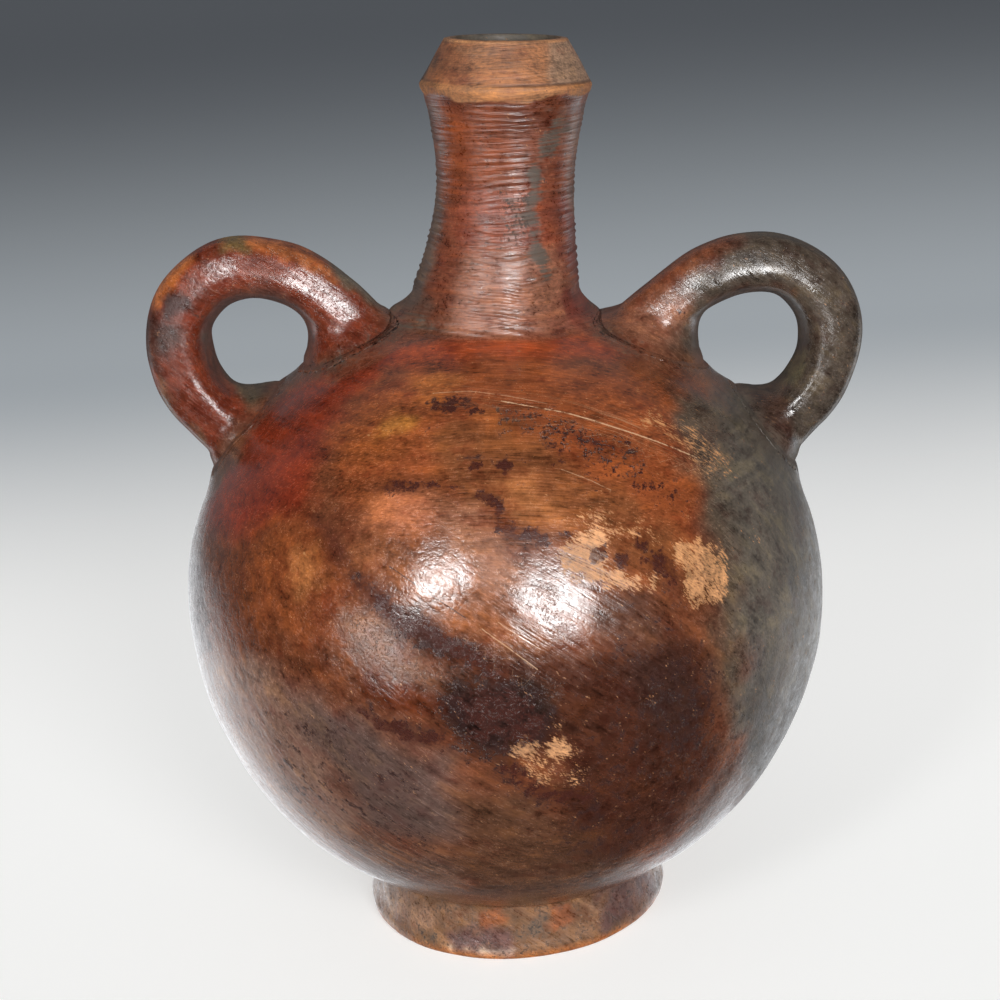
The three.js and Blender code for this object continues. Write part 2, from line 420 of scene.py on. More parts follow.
# How far the comb pressed its lines into the neck, in millimetres
def comb(points):
    angle = np.arctan2(points[:, 1], points[:, 0])
    z = points[:, 2]
    span = combTop - neckBaseZ
    pitchLow, pitchHigh = combLines["pitchLow"], combLines["pitchHigh"]
    slope = (pitchLow - pitchHigh) / span
    pitch = np.clip(pitchLow - slope * (z - neckBaseZ), pitchHigh, pitchLow)
    lines = np.log(pitchLow / pitch) / slope
    wander = 0.30 * np.sin(angle + math.radians(19) * z / 4.6) + 0.62 * wobble(points, 62, 11)
    phase = lines + wander + 0.14 * wobble(points, 17, 12) + 0.2 * wobble(points * (1, 1, 3), 40, 16)
    crest = ((1 + np.cos(math.tau * phase)) / 2) ** combLines["crestPower"]
    fine = combLines["fineLines"] * phase + 0.5 * wobble(points, 31, 13)
    thin = ((1 + np.cos(math.tau * fine)) / 2) ** 3
    share = np.clip((z - neckBaseZ) / span, 0, 1)
    uneven = 0.7 + 0.6 * wobble(points * (1, 1, 3.4), 52, 14) + 0.6 * wobble(points * (0.8, 0.8, 7), 44, 15)
    uneven = np.clip(uneven, 0.06, 1.5)
    depth = combLines["depth"] * (1.1 - 0.7 * share)
    top = combTop - 1.5 + 2.2 * np.sin(angle * 3 + 1) + 1.2 * np.sin(angle * 7)
    held = smoothstep(neckBaseZ - 3.5, neckBaseZ + 2, z) * (1 - smoothstep(top - 4, top, z))
    return -held * (depth * (1 - crest * uneven) + combLines["fineDepth"] * thin)


def swayed(points):
    reach = np.where(points[:, 2] > neckBaseZ, neck["swayAbove"], neck["swayBelow"])
    moved = points.copy()
    moved[:, 0] -= neck["sway"] * np.exp(-(((points[:, 2] - neckBaseZ) / reach) ** 2))
    return moved


def outerWall():
    profile = evenly(outerProfile(), outerStep)
    points, faces = turned(profile, outerCount)
    radius = np.hypot(points[:, 0], points[:, 1])
    z = points[:, 2]
    onNeck = (z > neckBaseZ - 4) & (z < rimEdgeZ) & (radius < neck["baseRadius"] + 4)
    push = np.zeros(len(points))
    push[onNeck] = comb(points[onNeck])
    belowNeck = smoothstep(0, 22, neckBaseZ - z)
    dents = 0.55 * wobble(points, 95, 21) + 0.34 * wobble(points, 42, 22)
    push += belowNeck * (dents - 0.9) * 0.8
    aboveEdge = smoothstep(rimEdgeZ - 5, rimEdgeZ - 3, z) * (radius > 20)
    push += aboveEdge * (0.35 * wobble(points, 26, 23) - 0.3)
    outward = points.copy()
    outward[:, 2] = np.where(z < neckBaseZ, (z - bodyCentreZ), 0)
    outward /= np.maximum(np.linalg.norm(outward, axis=1), 1e-6)[:, None]
    return stood(swayed(points + outward * push[:, None])), faces


def hollowWall():
    points, faces = turned(evenly(hollowProfile(), hollowStep), hollowCount)
    return stood(swayed(points)), faces


# How far points are off the body's shoulder, and which way the shoulder faces there
def offShoulder(points):
    radii = np.array((body["radius"], body["radius"], body["rise"]))
    scaled = (points - bodyCentre) / radii
    normal = scaled / radii
    size = np.linalg.norm(scaled, axis=1)
    steepness = np.linalg.norm(normal, axis=1)
    return (size - 1) * size / steepness, normal / steepness[:, None]


# The middle line of a handle as fine points, in the plane of the pot's axis
def handleLine(each):
    def surface(x):
        return bodyCentreZ + heightAtRadius(body["radius"], body["rise"], x)
    upperTurn = each["upperTurn"]
    topX = body["radius"] - each["inset"]
    topZ = surface(topX) + each["rise"]
    upperX = neck["baseRadius"] + each["upperRootOut"]
    lowerX = body["radius"] - handleRoll["lowerRootInset"]
    neckArc, outerArc, lowerArc = each["neckArc"], each["outerArc"], each["lowerArc"]
    corners = np.concatenate((
        [(upperX, surface(upperX) - handleRoll["bury"])],
        circleArc(topX, topZ - neckArc, neckArc, 90 + upperTurn, 90, 60),
        circleArc(topX, topZ - outerArc, outerArc, 90, 0, 90)[1:],
        circleArc(topX + outerArc - lowerArc, topZ - outerArc, lowerArc, 0, -each["lowerTurn"], 60)[1:],
        [(lowerX, surface(lowerX) - handleRoll["bury"])],
    ))
    gaps = np.linalg.norm(np.diff(corners, axis=0), axis=1)
    run = np.concatenate(([0], np.cumsum(gaps)))
    places = np.linspace(0, run[-1], 1200)
    return np.column_stack([np.interp(places, run, corners[:, i]) for i in (0, 1)]), places


def handle(each):
    line, run = handleLine(each)
    middle = np.column_stack((line[:, 0], np.zeros(len(line)), line[:, 1]))
    depth = -offShoulder(middle)[0]
    shown = np.nonzero(depth < handleRoll["inWall"])[0]
    first, last = run[shown[0]], run[shown[-1]]
    length = run[-1]
    heading = np.gradient(line, axis=0)
    heading /= np.linalg.norm(heading, axis=1)[:, None]
    around = handleRoll["around"]
    turns = np.arange(around) * math.tau / around
    points = []
    for i in range(handleRoll["along"] + 1):
        even = i / handleRoll["along"]
        share = (even + (1 - math.cos(math.pi * even)) / 2) / 2
        at = first + (last - first) * share
        centre = np.array([np.interp(at, run, middle[:, k]) for k in range(3)])
        tx, tz = (np.interp(at, run, heading[:, k]) for k in (0, 1))
        along = np.array((tx, 0, tz)) / math.hypot(tx, tz)
        upper = at < length / 2
        end = middle[0 if upper else -1]
        normal = offShoulder(end[None])[1][0] * (1 if upper else -1)
        fromRoot = min(at, length - at) - handleRoll["bury"]
        laid = 1 - smoothstep(0, handleRoll["turn"], fromRoot)
        faces = along * (1 - laid) + normal * laid
        faces /= np.linalg.norm(faces)
        across = np.array((-faces[2], 0, faces[0])) / (faces @ along)
        inside, outside, front = each["upperFillet"] if upper else each["lowerFillet"]
        sections = 1 + 0.012 * math.sin(at * 0.09 + each["side"]) + 0.008 * math.sin(at * 0.21)
        squared = 1 - each["flatness"] * np.cos(4 * (turns + math.radians(each["faceTurn"])))
        offset = (np.outer(np.cos(turns) * squared, across) * each["thickness"] / 2
                  + np.outer(np.sin(turns) * squared, (0, handleRoll["depth"] / 2, 0))) * sections * 0.98
        ring = centre + offset
        distance, shoulder = offShoulder(ring)
        side = np.where(np.cos(turns) < 0, inside, outside)
        width = front + (side - front) * np.cos(turns) ** 2
        near = np.clip(1 - distance / width, 0, 1)
        way = offset / np.linalg.norm(offset, axis=1)[:, None]
        way -= (way * shoulder).sum(axis=1)[:, None] * shoulder
        ring += way * (width * near ** 2)[:, None]
        risen, shoulder = offShoulder(ring)
        ring -= shoulder * ((risen - distance) * near)[:, None]
        points.append(ring)
    caps = [points[0].mean(axis=0)[None], points[-1].mean(axis=0)[None]]
    points = np.concatenate(points + caps)
    points += 0.4 * np.column_stack([wobble(points, 38, 31 + k + each["side"]) for k in range(3)])
    points[:, 0] -= each["pulledIn"]
    points[:, 0] *= each["side"]
    faces = []
    for i in range(handleRoll["along"]):
        stitch(faces, i * around, around, (i + 1) * around, around)
    final = handleRoll["along"] * around
    startCap = final + around
    for i in range(around):
        j = (i + 1) % around
        faces.append((startCap, j, i))
        faces.append((startCap + 1, final + i, final + j))
    if each["side"] < 0:
        faces = [face[::-1] for face in faces]
    return stood(points), faces


# The foot ring, level under the leaning body: pinched in under the body, with a rolled lower edge
def footRing():
    top = bodyCentreZ - heightAtRadius(body["radius"], body["drop"], foot["topRadius"])
    top += foot["topRadius"] * math.tan(lean) + foot["bite"]
    inner = foot["radius"] - foot["ringWidth"]
    heights = np.linspace(7, top, 22)
    waist = 0.9 * np.sin(math.pi * (heights - 7) / (top - 7))
    outer = foot["radius"] - (foot["radius"] - foot["topRadius"]) * (heights - 7) / (top - 7) - waist
    loop = np.concatenate((
        circleArc(inner + foot["edgeRound"], foot["edgeRound"], foot["edgeRound"], 180, 270, 5),
        circleArc(foot["radius"] - 4.5, 4, 4, 270, 360, 7)[:-1],
        np.column_stack((outer, heights)),
        [((outer[-1] + inner) / 2, top), (inner, top), (inner, top * 0.7), (inner, top * 0.35)],
    ))
    count = 224
    angles = np.arange(count) * math.tau / count
    radius, z = loop.T
    points = np.concatenate([np.column_stack((radius * math.cos(angle), radius * math.sin(angle), z))
                             for angle in angles])
    lift = smoothstep(4, 14, points[:, 2])
    radial = points * (1, 1, 0)
    radial /= np.linalg.norm(radial, axis=1)[:, None]
    uneven = 0.7 * wobble(points, 60, 41) + 0.35 * wobble(points, 21, 42) - 0.6
    points += radial * (uneven * (0.35 + 0.65 * lift))[:, None]
    faces = []
    size = len(loop)
    for i in range(count):
        for k in range(size):
            j, n = (i + 1) % count, (k + 1) % size
            faces.append((i * size + k, j * size + k, j * size + n, i * size + n))
    points[:, 0] += footX
    return points, faces


def mesh(name, points, faces, material):
    data = bpy.data.meshes.new(name)
    data.from_pydata([tuple(p) for p in points * mm], [], faces)
    data.materials.append(bpy.data.materials.new(material))
    piece = bpy.data.objects.new(name, data)
    bpy.context.scene.collection.objects.link(piece)
    return piece


# Joins or cuts one piece with another and keeps which faces came from which
def worked(piece, other, operation):
    modifier = piece.modifiers.new("luted", "BOOLEAN")
    modifier.operation = operation
    modifier.solver = "MANIFOLD"
    modifier.material_mode = "TRANSFER"
    modifier.object = other
    bpy.context.view_layer.update()
    shaped = bpy.data.meshes.new_from_object(piece.evaluated_get(bpy.context.evaluated_depsgraph_get()))
    piece.modifiers.clear()
    piece.data = shaped
    bpy.data.objects.remove(other)


jar = mesh("burnishedJar", *outerWall(), "wallClay")
for each in handles:
    worked(jar, mesh("handleRoll", *handle(each), "handleClay"), "UNION")
worked(jar, mesh("footRing", *footRing(), "footClay"), "UNION")
worked(jar, mesh("hollow", *hollowWall(), "hollowClay"), "DIFFERENCE")


# Takes out the slivers that joining leaves along the handles' seams
def cleanSeams(piece, gap):
    handleSlots = {i for i, slot in enumerate(piece.data.materials) if slot.name.startswith("handleClay")}
    form = bmesh.new()
    form.from_mesh(piece.data)
    seam = {v for v in form.verts if len({f.material_index in handleSlots for f in v.link_faces}) == 2}
    around = seam | {e.other_vert(v) for v in seam for e in v.link_edges}
    bmesh.ops.remove_doubles(form, verts=sorted(around, key=lambda v: v.index), dist=gap * mm)
    bmesh.ops.dissolve_degenerate(form, dist=1e-6, edges=form.edges[:])
    form.to_mesh(piece.data)
    form.free()


def read(collection, field, width=1, kind=int):
    values = np.empty(len(collection) * width, kind)
    collection.foreach_get(field, values)
    return values.reshape(-1, width) if width > 1 else values


cleanSeams(jar, 0.9)
data = jar.data
count = len(data.vertices)
points = read(data.vertices, "co", 3, float) / mm
print("clay joined:", count, "points,", sum(len(p.vertices) - 2 for p in data.polygons), "triangles")

# Which part each point belongs to, and the seams between parts
partNames = [slot.name.split(".")[0] for slot in data.materials]
cornerPoint = read(data.loops, "vertex_index")
cornerPart = np.repeat(read(data.polygons, "material_index"), read(data.polygons, "loop_total"))


def partShare(name):
    indices = [i for i, part in enumerate(partNames) if part == name]
    total = np.bincount(cornerPoint, minlength=count)
    mine = np.bincount(cornerPoint, weights=np.isin(cornerPart, indices).astype(float), minlength=count)
    return mine / np.maximum(total, 1)


onWall, onHandle, onFoot, inHollow = (partShare(name)
                                      for name in ("wallClay", "handleClay", "footClay", "hollowClay"))
own = upright(points)


# The area of clay round each point, and the way that the clay faces there
def clayFaces(points):
    data.vertices.foreach_set("co", (points * mm).ravel())
    data.update()
    data.calc_loop_triangles()
    corners = read(data.loop_triangles, "vertices", 3)
    a, b, c = (points[corners[:, k]] for k in range(3))
    normal = np.cross(b - a, c - a) / 2
    area = np.linalg.norm(normal, axis=1)
    share, *facing = [np.bincount(corners.ravel(), weights=np.repeat(values, 3), minlength=count)
                      for values in (area / 3, *normal.T)]
    return share, np.column_stack(facing)


# Squared distances from each of some points to each of others
def squaredGaps(some, others):
    gaps = (some ** 2).sum(axis=1)[:, None] + (others ** 2).sum(axis=1) - 2 * some @ others.T
    return np.maximum(gaps, 0)


# The outer points near a seam: those within reach, those that count in their averages, and how much
# each of the first yields
def alongSeam(points, seam, reach, thumb):
    seamPoints = points[seam]
    margin = reach + 2.6 * thumb
    low, high = seamPoints.min(axis=0) - margin, seamPoints.max(axis=0) + margin
    close = np.nonzero(((points > low) & (points < high)).all(axis=1) & (inHollow < 0.01))[0]
    distance = np.concatenate([np.sqrt(squaredGaps(points[chunk], seamPoints).min(axis=1))
                               for chunk in np.array_split(close, max(1, len(close) // 1000))])
    moved = close[distance < reach]
    hold = smoothstep(0, 0.75 * reach, reach - distance[distance < reach])
    return moved, close[distance < margin], hold


# Averages of values round each moved point, over a thumb's width, by how much clay each value stands for
def averaged(points, clayShare, moved, pool, thumb, *kinds):
    results = [[] for _ in kinds]
    for chunk in np.array_split(moved, max(1, len(moved) // 500)):
        gaps = squaredGaps(points[chunk], points[pool])
        weights = np.exp(gaps / (-2 * thumb * thumb)) * clayShare[pool]
        weights /= weights.sum(axis=1)[:, None]
        for result, kind in zip(results, kinds):
            result.append(weights @ kind[pool])
    return [np.concatenate(result) for result in results]


# Rubs a seam smooth, as wet clay is smoothed with a thumb so many millimetres wide
def rubbed(points, seam, reach, thumb, rounds):
    moved, pool, hold = alongSeam(points, seam, reach, thumb)
    for _ in range(rounds):
        clayShare, clayFacing = clayFaces(points)
        mean, way = averaged(points, clayShare, moved, pool, thumb, points, clayFacing / clayShare[:, None])
        way /= np.linalg.norm(way, axis=1)[:, None]
        step = ((mean - points[moved]) * way).sum(axis=1)[:, None] * way
        points = points.copy()
        points[moved] += step * hold[:, None]
    return points


handleSeams = [np.nonzero((onHandle > 0) & (onWall > 0) & (own[:, 0] * side > 0))[0] for side in (-1, 1)]
for seam in handleSeams:
    points = rubbed(points, seam, 18, 5.5, 6)
footSeam = np.nonzero((onFoot > 0) & (onWall > 0) & (np.hypot(points[:, 0] - footX, points[:, 1]) > 80))[0]
points = rubbed(points, footSeam, 3.5, 1.2, 2)
clayShare = clayFaces(points)[0]
data.shade_smooth()
own = upright(points)
print("seams rubbed")

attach(jar, "root")
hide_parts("jar")

print("slip")


# A fired colour as a painter would mix it, 0 to 255 each, in the linear light that the shader needs
def tone(red, green, blue):
    shares = np.array((red, green, blue)) / 255
    return np.where(shares <= 0.04045, shares / 12.92, ((shares + 0.055) / 1.055) ** 2.4)


seen = inPicture(points)
flat = laidFlat(bodyDirections(own))
pixelSize = view["back"] / view["focal"]


def edged(distance, soft, ragged, seed):
    if ragged:
        near = np.abs(distance) < soft + 1.5 * ragged # beyond it the edge's wobble makes no difference
        distance[near] += ragged * wobble(own[near], max(4 * ragged, 14), seed)
    return smoothstep(-soft, soft, distance)


# How much of a patch each point has. The patch is outlined in photograph pixels
def patch(outline, soft, ragged=0, on="wall", seed=1):
    if on == "wall":
        return edged(insideOutline(flat, ontoWall(outline)), soft, ragged, seed)
    return edged(insideOutline(seen, np.array(outline, float)) * pixelSize, soft, ragged, seed)


def streak(line, width, soft, ragged=0, on="wall", seed=1):
    if on == "wall":
        aside = besideLine(flat, ontoWall(line))[0]
    else:
        aside = besideLine(seen, np.array(line, float))[0] * pixelSize
    return edged(width - np.abs(aside), soft, ragged, seed)


height = own[:, 2]
swayThere = neck["sway"] * np.exp(-((height - neckBaseZ) / neck["swayAbove"]) ** 2)
axisX = own[:, 0] + (height > neckBaseZ - 20) * swayThere
neckAway = np.hypot(axisX, own[:, 1])
onNeck = onWall * smoothstep(neckBaseZ - 2, neckBaseZ + 4, height) * (neckAway < 60)
onRim = onWall * smoothstep(rimEdgeZ - 2.5, rimEdgeZ - 0.5, height)
left = own[:, 0] < 0
onBody = onWall * (1 - onNeck)
onLeft = onHandle * left
onRight = onHandle * ~left

# The colour laid on the clay: mostly the slip's own colours, with a few painted highlights, sheens and shades
slip = np.tile(tone(100, 56, 35), (count, 1))


def lay(mask, colour):
    global slip
    slip = slip + (np.array(colour) - slip) * np.clip(mask, 0, 1)[:, None]


def layPatches(patches, share, on, seed):
    for n, (colour, soft, ragged, outline) in enumerate(patches):
        lay(share * patch(outline, soft, ragged, on, seed + n), tone(*colour))


# Colours of the fired slip, with a few painted sheens, highlights and shades among them, in the order that
# they are laid. Each patch has a colour, how soft and how ragged its edge is in millimetres, and an outline in
# photograph pixels
greyCloud = [(716, 385), (760, 396), (830, 440), (900, 520), (940, 620), (900, 740), (830, 830), (752, 860),
             (735, 800), (742, 720), (746, 640), (738, 560), (722, 480)]
bodySlipAndSheen = [
    ((142, 61, 30), 9, 5, [(380, 345), (440, 338), (520, 336), (600, 338), (650, 352), (560, 360), (470, 364),
        (405, 372)]),
    ((124, 64, 34), 13, 6, [(330, 420), (380, 382), (460, 364), (560, 360), (640, 370), (690, 405),
        (706, 455), (700, 540), (640, 575), (560, 560), (480, 500), (400, 480), (345, 505), (325, 470)]),
    ((113, 41, 21), 13, 6, [(200, 520), (228, 462), (262, 412), (305, 382), (350, 368), (398, 350),
        (388, 372), (350, 396), (322, 430), (312, 480), (292, 525), (255, 545), (215, 545)]),
    ((131, 69, 34), 9, 6, [(345, 425), (368, 405), (400, 406), (424, 424), (408, 452), (372, 466),
        (346, 452)]),
    ((150, 94, 42), 4, 4, [(376, 428), (394, 414), (412, 422), (398, 438), (380, 440)]),
    ((148, 84, 40), 6, 4, [(414, 380), (440, 371), (466, 384), (442, 402), (418, 400)]),
    ((113, 65, 37), 10, 6, [(424, 430), (490, 412), (530, 436), (580, 470), (640, 496), (690, 540),
        (680, 574), (636, 580), (580, 560), (548, 534), (500, 514), (440, 488)]),
    ((138, 84, 48), 5, 4, [(500, 484), (530, 480), (556, 498), (566, 526), (545, 532), (508, 514)]),
    ((142, 78, 38), 4, 3, [(476, 412), (500, 409), (510, 428), (488, 434)]),
    ((152, 90, 60), 6, 3, [(368, 522), (371, 502), (392, 493), (418, 489), (434, 500), (437, 520), (421, 534),
        (390, 537)]),
    ((130, 84, 60), 8, 5, [(434, 500), (470, 506), (500, 534), (520, 575), (505, 600), (470, 590),
        (440, 545)]),
    ((110, 57, 30), 11, 6, [(250, 520), (300, 512), (332, 548), (360, 600), (356, 640), (310, 648),
        (262, 624), (240, 575)]),
    ((148, 90, 50), 5, 4, [(288, 552), (312, 550), (320, 590), (302, 598), (288, 575)]),
    ((89, 45, 23), 11, 6, [(200, 520), (240, 545), (255, 600), (262, 630), (330, 668), (352, 700), (300, 680),
        (240, 652), (200, 610)]),
    ((124, 73, 44), 8, 5, [(345, 545), (400, 540), (470, 580), (520, 620), (560, 650), (500, 660), (440, 625),
        (395, 590), (360, 580)]),
    # Paler brown where the low highlight falls: partly the slip's own colour, partly a painted sheen
    ((110, 74, 56), 7, 4, [(336, 612), (368, 606), (402, 636), (440, 672), (430, 692), (395, 678),
        (355, 648)]),
    # Mauve on the lower left of the belly: partly the slip's own colour, partly a painted reflection of the
    # pale floor
    ((121, 91, 77), 14, 8, [(190, 635), (240, 655), (300, 690), (330, 760), (360, 830), (400, 880),
        (350, 900), (280, 860), (200, 780), (150, 690)]),
    ((86, 66, 59), 12, 8, [(290, 690), (345, 706), (400, 738), (452, 762), (470, 820), (430, 850), (370, 820),
        (320, 760)]),
    ((95, 67, 54), 14, 8, [(360, 840), (430, 850), (470, 870), (460, 910), (400, 900), (360, 880)]),
    ((79, 50, 34), 13, 7, [(460, 790), (520, 800), (590, 820), (640, 870), (600, 905), (480, 912),
        (450, 860)]),
    ((64, 33, 21), 13, 7, [(500, 660), (560, 656), (620, 648), (690, 640), (716, 690), (712, 770), (680, 830),
        (620, 860), (570, 830), (560, 780), (500, 730)]),
    ((54, 31, 24), 9, 6, [(628, 650), (690, 652), (702, 700), (690, 740), (650, 730), (630, 690)]),
    ((82, 51, 38), 8, 5, [(596, 592), (650, 596), (672, 630), (650, 652), (600, 640)]),
    ((38, 23, 18), 8, 6, [(450, 684), (500, 676), (545, 692), (560, 716), (545, 742), (500, 754), (458, 746),
        (442, 712)]),
    ((60, 31, 21), 3, 3, [(362, 580), (399, 604), (440, 626), (482, 654), (496, 682), (470, 674), (430, 652),
        (390, 624), (362, 602)]),
    ((80, 36, 16), 1.2, 2, [(354, 674), (372, 668), (410, 682), (440, 704), (446, 716), (420, 721),
        (385, 712), (360, 696)]),
    ((80, 66, 54), 10, 6, [(672, 392), (720, 400), (744, 470), (745, 640), (735, 720), (716, 690), (712, 600),
        (700, 500)]),
    ((82, 74, 65), 12, 7, greyCloud),
    ((66, 58, 51), 14, 8, [(724, 690), (770, 684), (820, 700), (800, 780), (740, 810)]),
    ((76, 48, 35), 9, 6, [(690, 800), (740, 760), (770, 800), (720, 860), (660, 870)]),
    ((90, 63, 54), 8, 4, [(165, 470), (204, 490), (200, 560), (206, 640), (190, 680), (150, 640),
        (140, 540)]),
    ((90, 66, 50), 6, 4, [(208, 455), (236, 425), (250, 432), (236, 462), (212, 490)]),
    ((104, 57, 39), 5, 4, [(318, 352), (356, 340), (420, 318), (424, 340), (372, 366), (330, 384)]),
]
layPatches(bodySlipAndSheen, onBody, "wall", 100)
underBand = [(318, 520), (340, 556), (372, 594), (410, 624), (452, 646), (500, 672)]
lay(onBody * streak(underBand, 5, 5, 4, seed=130) * 0.85, tone(72, 36, 25))

neckSlip = [
    ((86, 40, 20), 6, 4, [(440, 95), (600, 95), (600, 130), (520, 132), (450, 118)]),
    ((110, 52, 24), 7, 5, [(434, 104), (500, 118), (520, 150), (500, 190), (440, 192)]),
    ((118, 58, 37), 7, 5, [(455, 185), (540, 182), (560, 250), (440, 262)]),
    ((130, 82, 61), 7, 5, [(460, 250), (560, 250), (600, 345), (440, 345)]),
    ((98, 48, 38), 6, 4, [(556, 200), (620, 190), (620, 345), (560, 330), (570, 270)]),
    ((88, 68, 57), 5, 4, [(380, 100), (430, 110), (442, 200), (434, 260), (420, 330), (380, 340)]),
    ((96, 66, 52), 5, 4, [(566, 110), (620, 110), (620, 210), (572, 215)]),
    ((92, 60, 44), 5, 4, [(395, 300), (440, 318), (438, 345), (395, 345)]),
]
lay(onNeck, tone(104, 54, 34))
layPatches(neckSlip, onNeck, "neck", 140)
rimSlip = [
    ((122, 73, 43), 5, 4, [(430, 20), (476, 20), (470, 90), (425, 90)]),
    ((134, 103, 80), 6, 5, [(545, 20), (620, 20), (620, 95), (552, 95)]),
    ((122, 82, 56), 2.5, 2.5, [(455, 46), (520, 44), (512, 56), (462, 58)]),
    ((72, 52, 42), 2.5, 2, [(400, 20), (438, 36), (428, 82), (400, 95)]),
]
lay(onRim, tone(143, 91, 54))
layPatches(rimSlip, onRim, "rim", 150)

leftHandleSlip = [
    ((150, 86, 48), 3, 3, [(224, 236), (262, 234), (310, 250), (348, 276), (338, 282), (300, 262), (262, 250),
        (226, 248)]),
    ((106, 84, 52), 3, 2.5, [(218, 230), (242, 232), (244, 250), (222, 252)]),
    ((158, 90, 48), 3, 2, [(140, 300), (152, 268), (184, 246), (190, 262), (172, 290), (158, 305)]),
    ((50, 22, 17), 3, 2.5, [(158, 298), (176, 290), (194, 292), (196, 310), (166, 316)]),
    ((66, 34, 23), 5, 4, [(140, 310), (168, 312), (176, 345), (158, 372), (140, 350)]),
    ((92, 80, 66), 4, 3, [(322, 252), (420, 306), (424, 326), (385, 318), (348, 290)]),
    ((80, 71, 55), 4, 3, [(206, 335), (222, 340), (240, 366), (290, 374), (336, 356), (352, 362), (318, 392),
        (282, 412), (250, 424), (246, 398), (226, 372)]),
    ((56, 38, 29), 3, 2.5, [(230, 420), (250, 420), (252, 452), (236, 456)]),
    ((104, 78, 58), 4, 3, [(140, 370), (160, 390), (190, 428), (214, 470), (200, 490), (150, 420)]),
]
lay(onLeft, tone(102, 43, 24))
layPatches(leftHandleSlip, onLeft, "handle", 160)
rightHandleSlipShadeAndSheen = [
    ((106, 58, 37), 9, 4, [(590, 300), (640, 268), (700, 236), (740, 236), (706, 262), (670, 300),
        (640, 350)]),
    ((120, 76, 56), 9, 3, [(626, 312), (668, 290), (690, 300), (672, 350), (630, 352)]),
    # Darker along the inner rim under the arch: painted shade
    ((72, 50, 38), 3, 3, [(694, 335), (712, 300), (748, 284), (794, 290), (775, 306), (730, 310),
        (704, 345)]),
    ((62, 44, 36), 5, 4, [(748, 392), (782, 384), (800, 410), (790, 445), (752, 430)]),
    # Lighter grey on the handle's lower side: a painted sheen
    ((90, 82, 68), 5, 3, [(690, 345), (712, 380), (746, 394), (740, 430), (686, 400)]),
    ((92, 84, 58), 3, 2.5, [(786, 364), (806, 352), (800, 378), (780, 388)]),
]
lay(onRight, tone(70, 60, 51))
layPatches(rightHandleSlipShadeAndSheen, onRight, "handle", 170)
footSlipAndGlint = [
    ((142, 107, 84), 4, 3, [(370, 880), (400, 890), (440, 915), (430, 930), (380, 915)]),
    ((132, 97, 70), 2, 2, [(576, 898), (604, 894), (612, 928), (600, 930), (590, 912)]),
    ((140, 82, 48), 2, 3, [(478, 906), (500, 905), (506, 924), (484, 926)]),
    ((138, 80, 48), 1.5, 2, [(548, 906), (572, 902), (574, 922), (556, 930)]),
    ((98, 70, 64), 5, 4, [(596, 880), (640, 866), (664, 880), (640, 916), (606, 926)]),
    # A pale band along the foot's lower front: a painted highlight, the glint on its rolled edge
    ((196, 170, 152), 1, 1.4, [(448, 946), (480, 949), (512, 948), (510, 955), (480, 957), (450, 953)]),
    ((104, 72, 66), 3, 3, [(450, 932), (512, 928), (515, 948), (456, 952)]),
]
lay(onFoot, tone(120, 85, 60))
layPatches(footSlipAndGlint, onFoot, "foot", 180)
lay(inHollow, tone(66, 58, 48))


# Layers that the shader breaks up: how much soot, wear, crust and dullness, and how pitted. Their patches
# have a strength in place of a colour
def build(total, mask, strength):
    return np.maximum(total, np.clip(mask, 0, 1) * strength)


def buildPatches(total, patches, share, on, seed):
    for n, (strength, soft, ragged, outline) in enumerate(patches):
        total = build(total, share * patch(outline, soft, ragged, on, seed + n), strength)
    return total


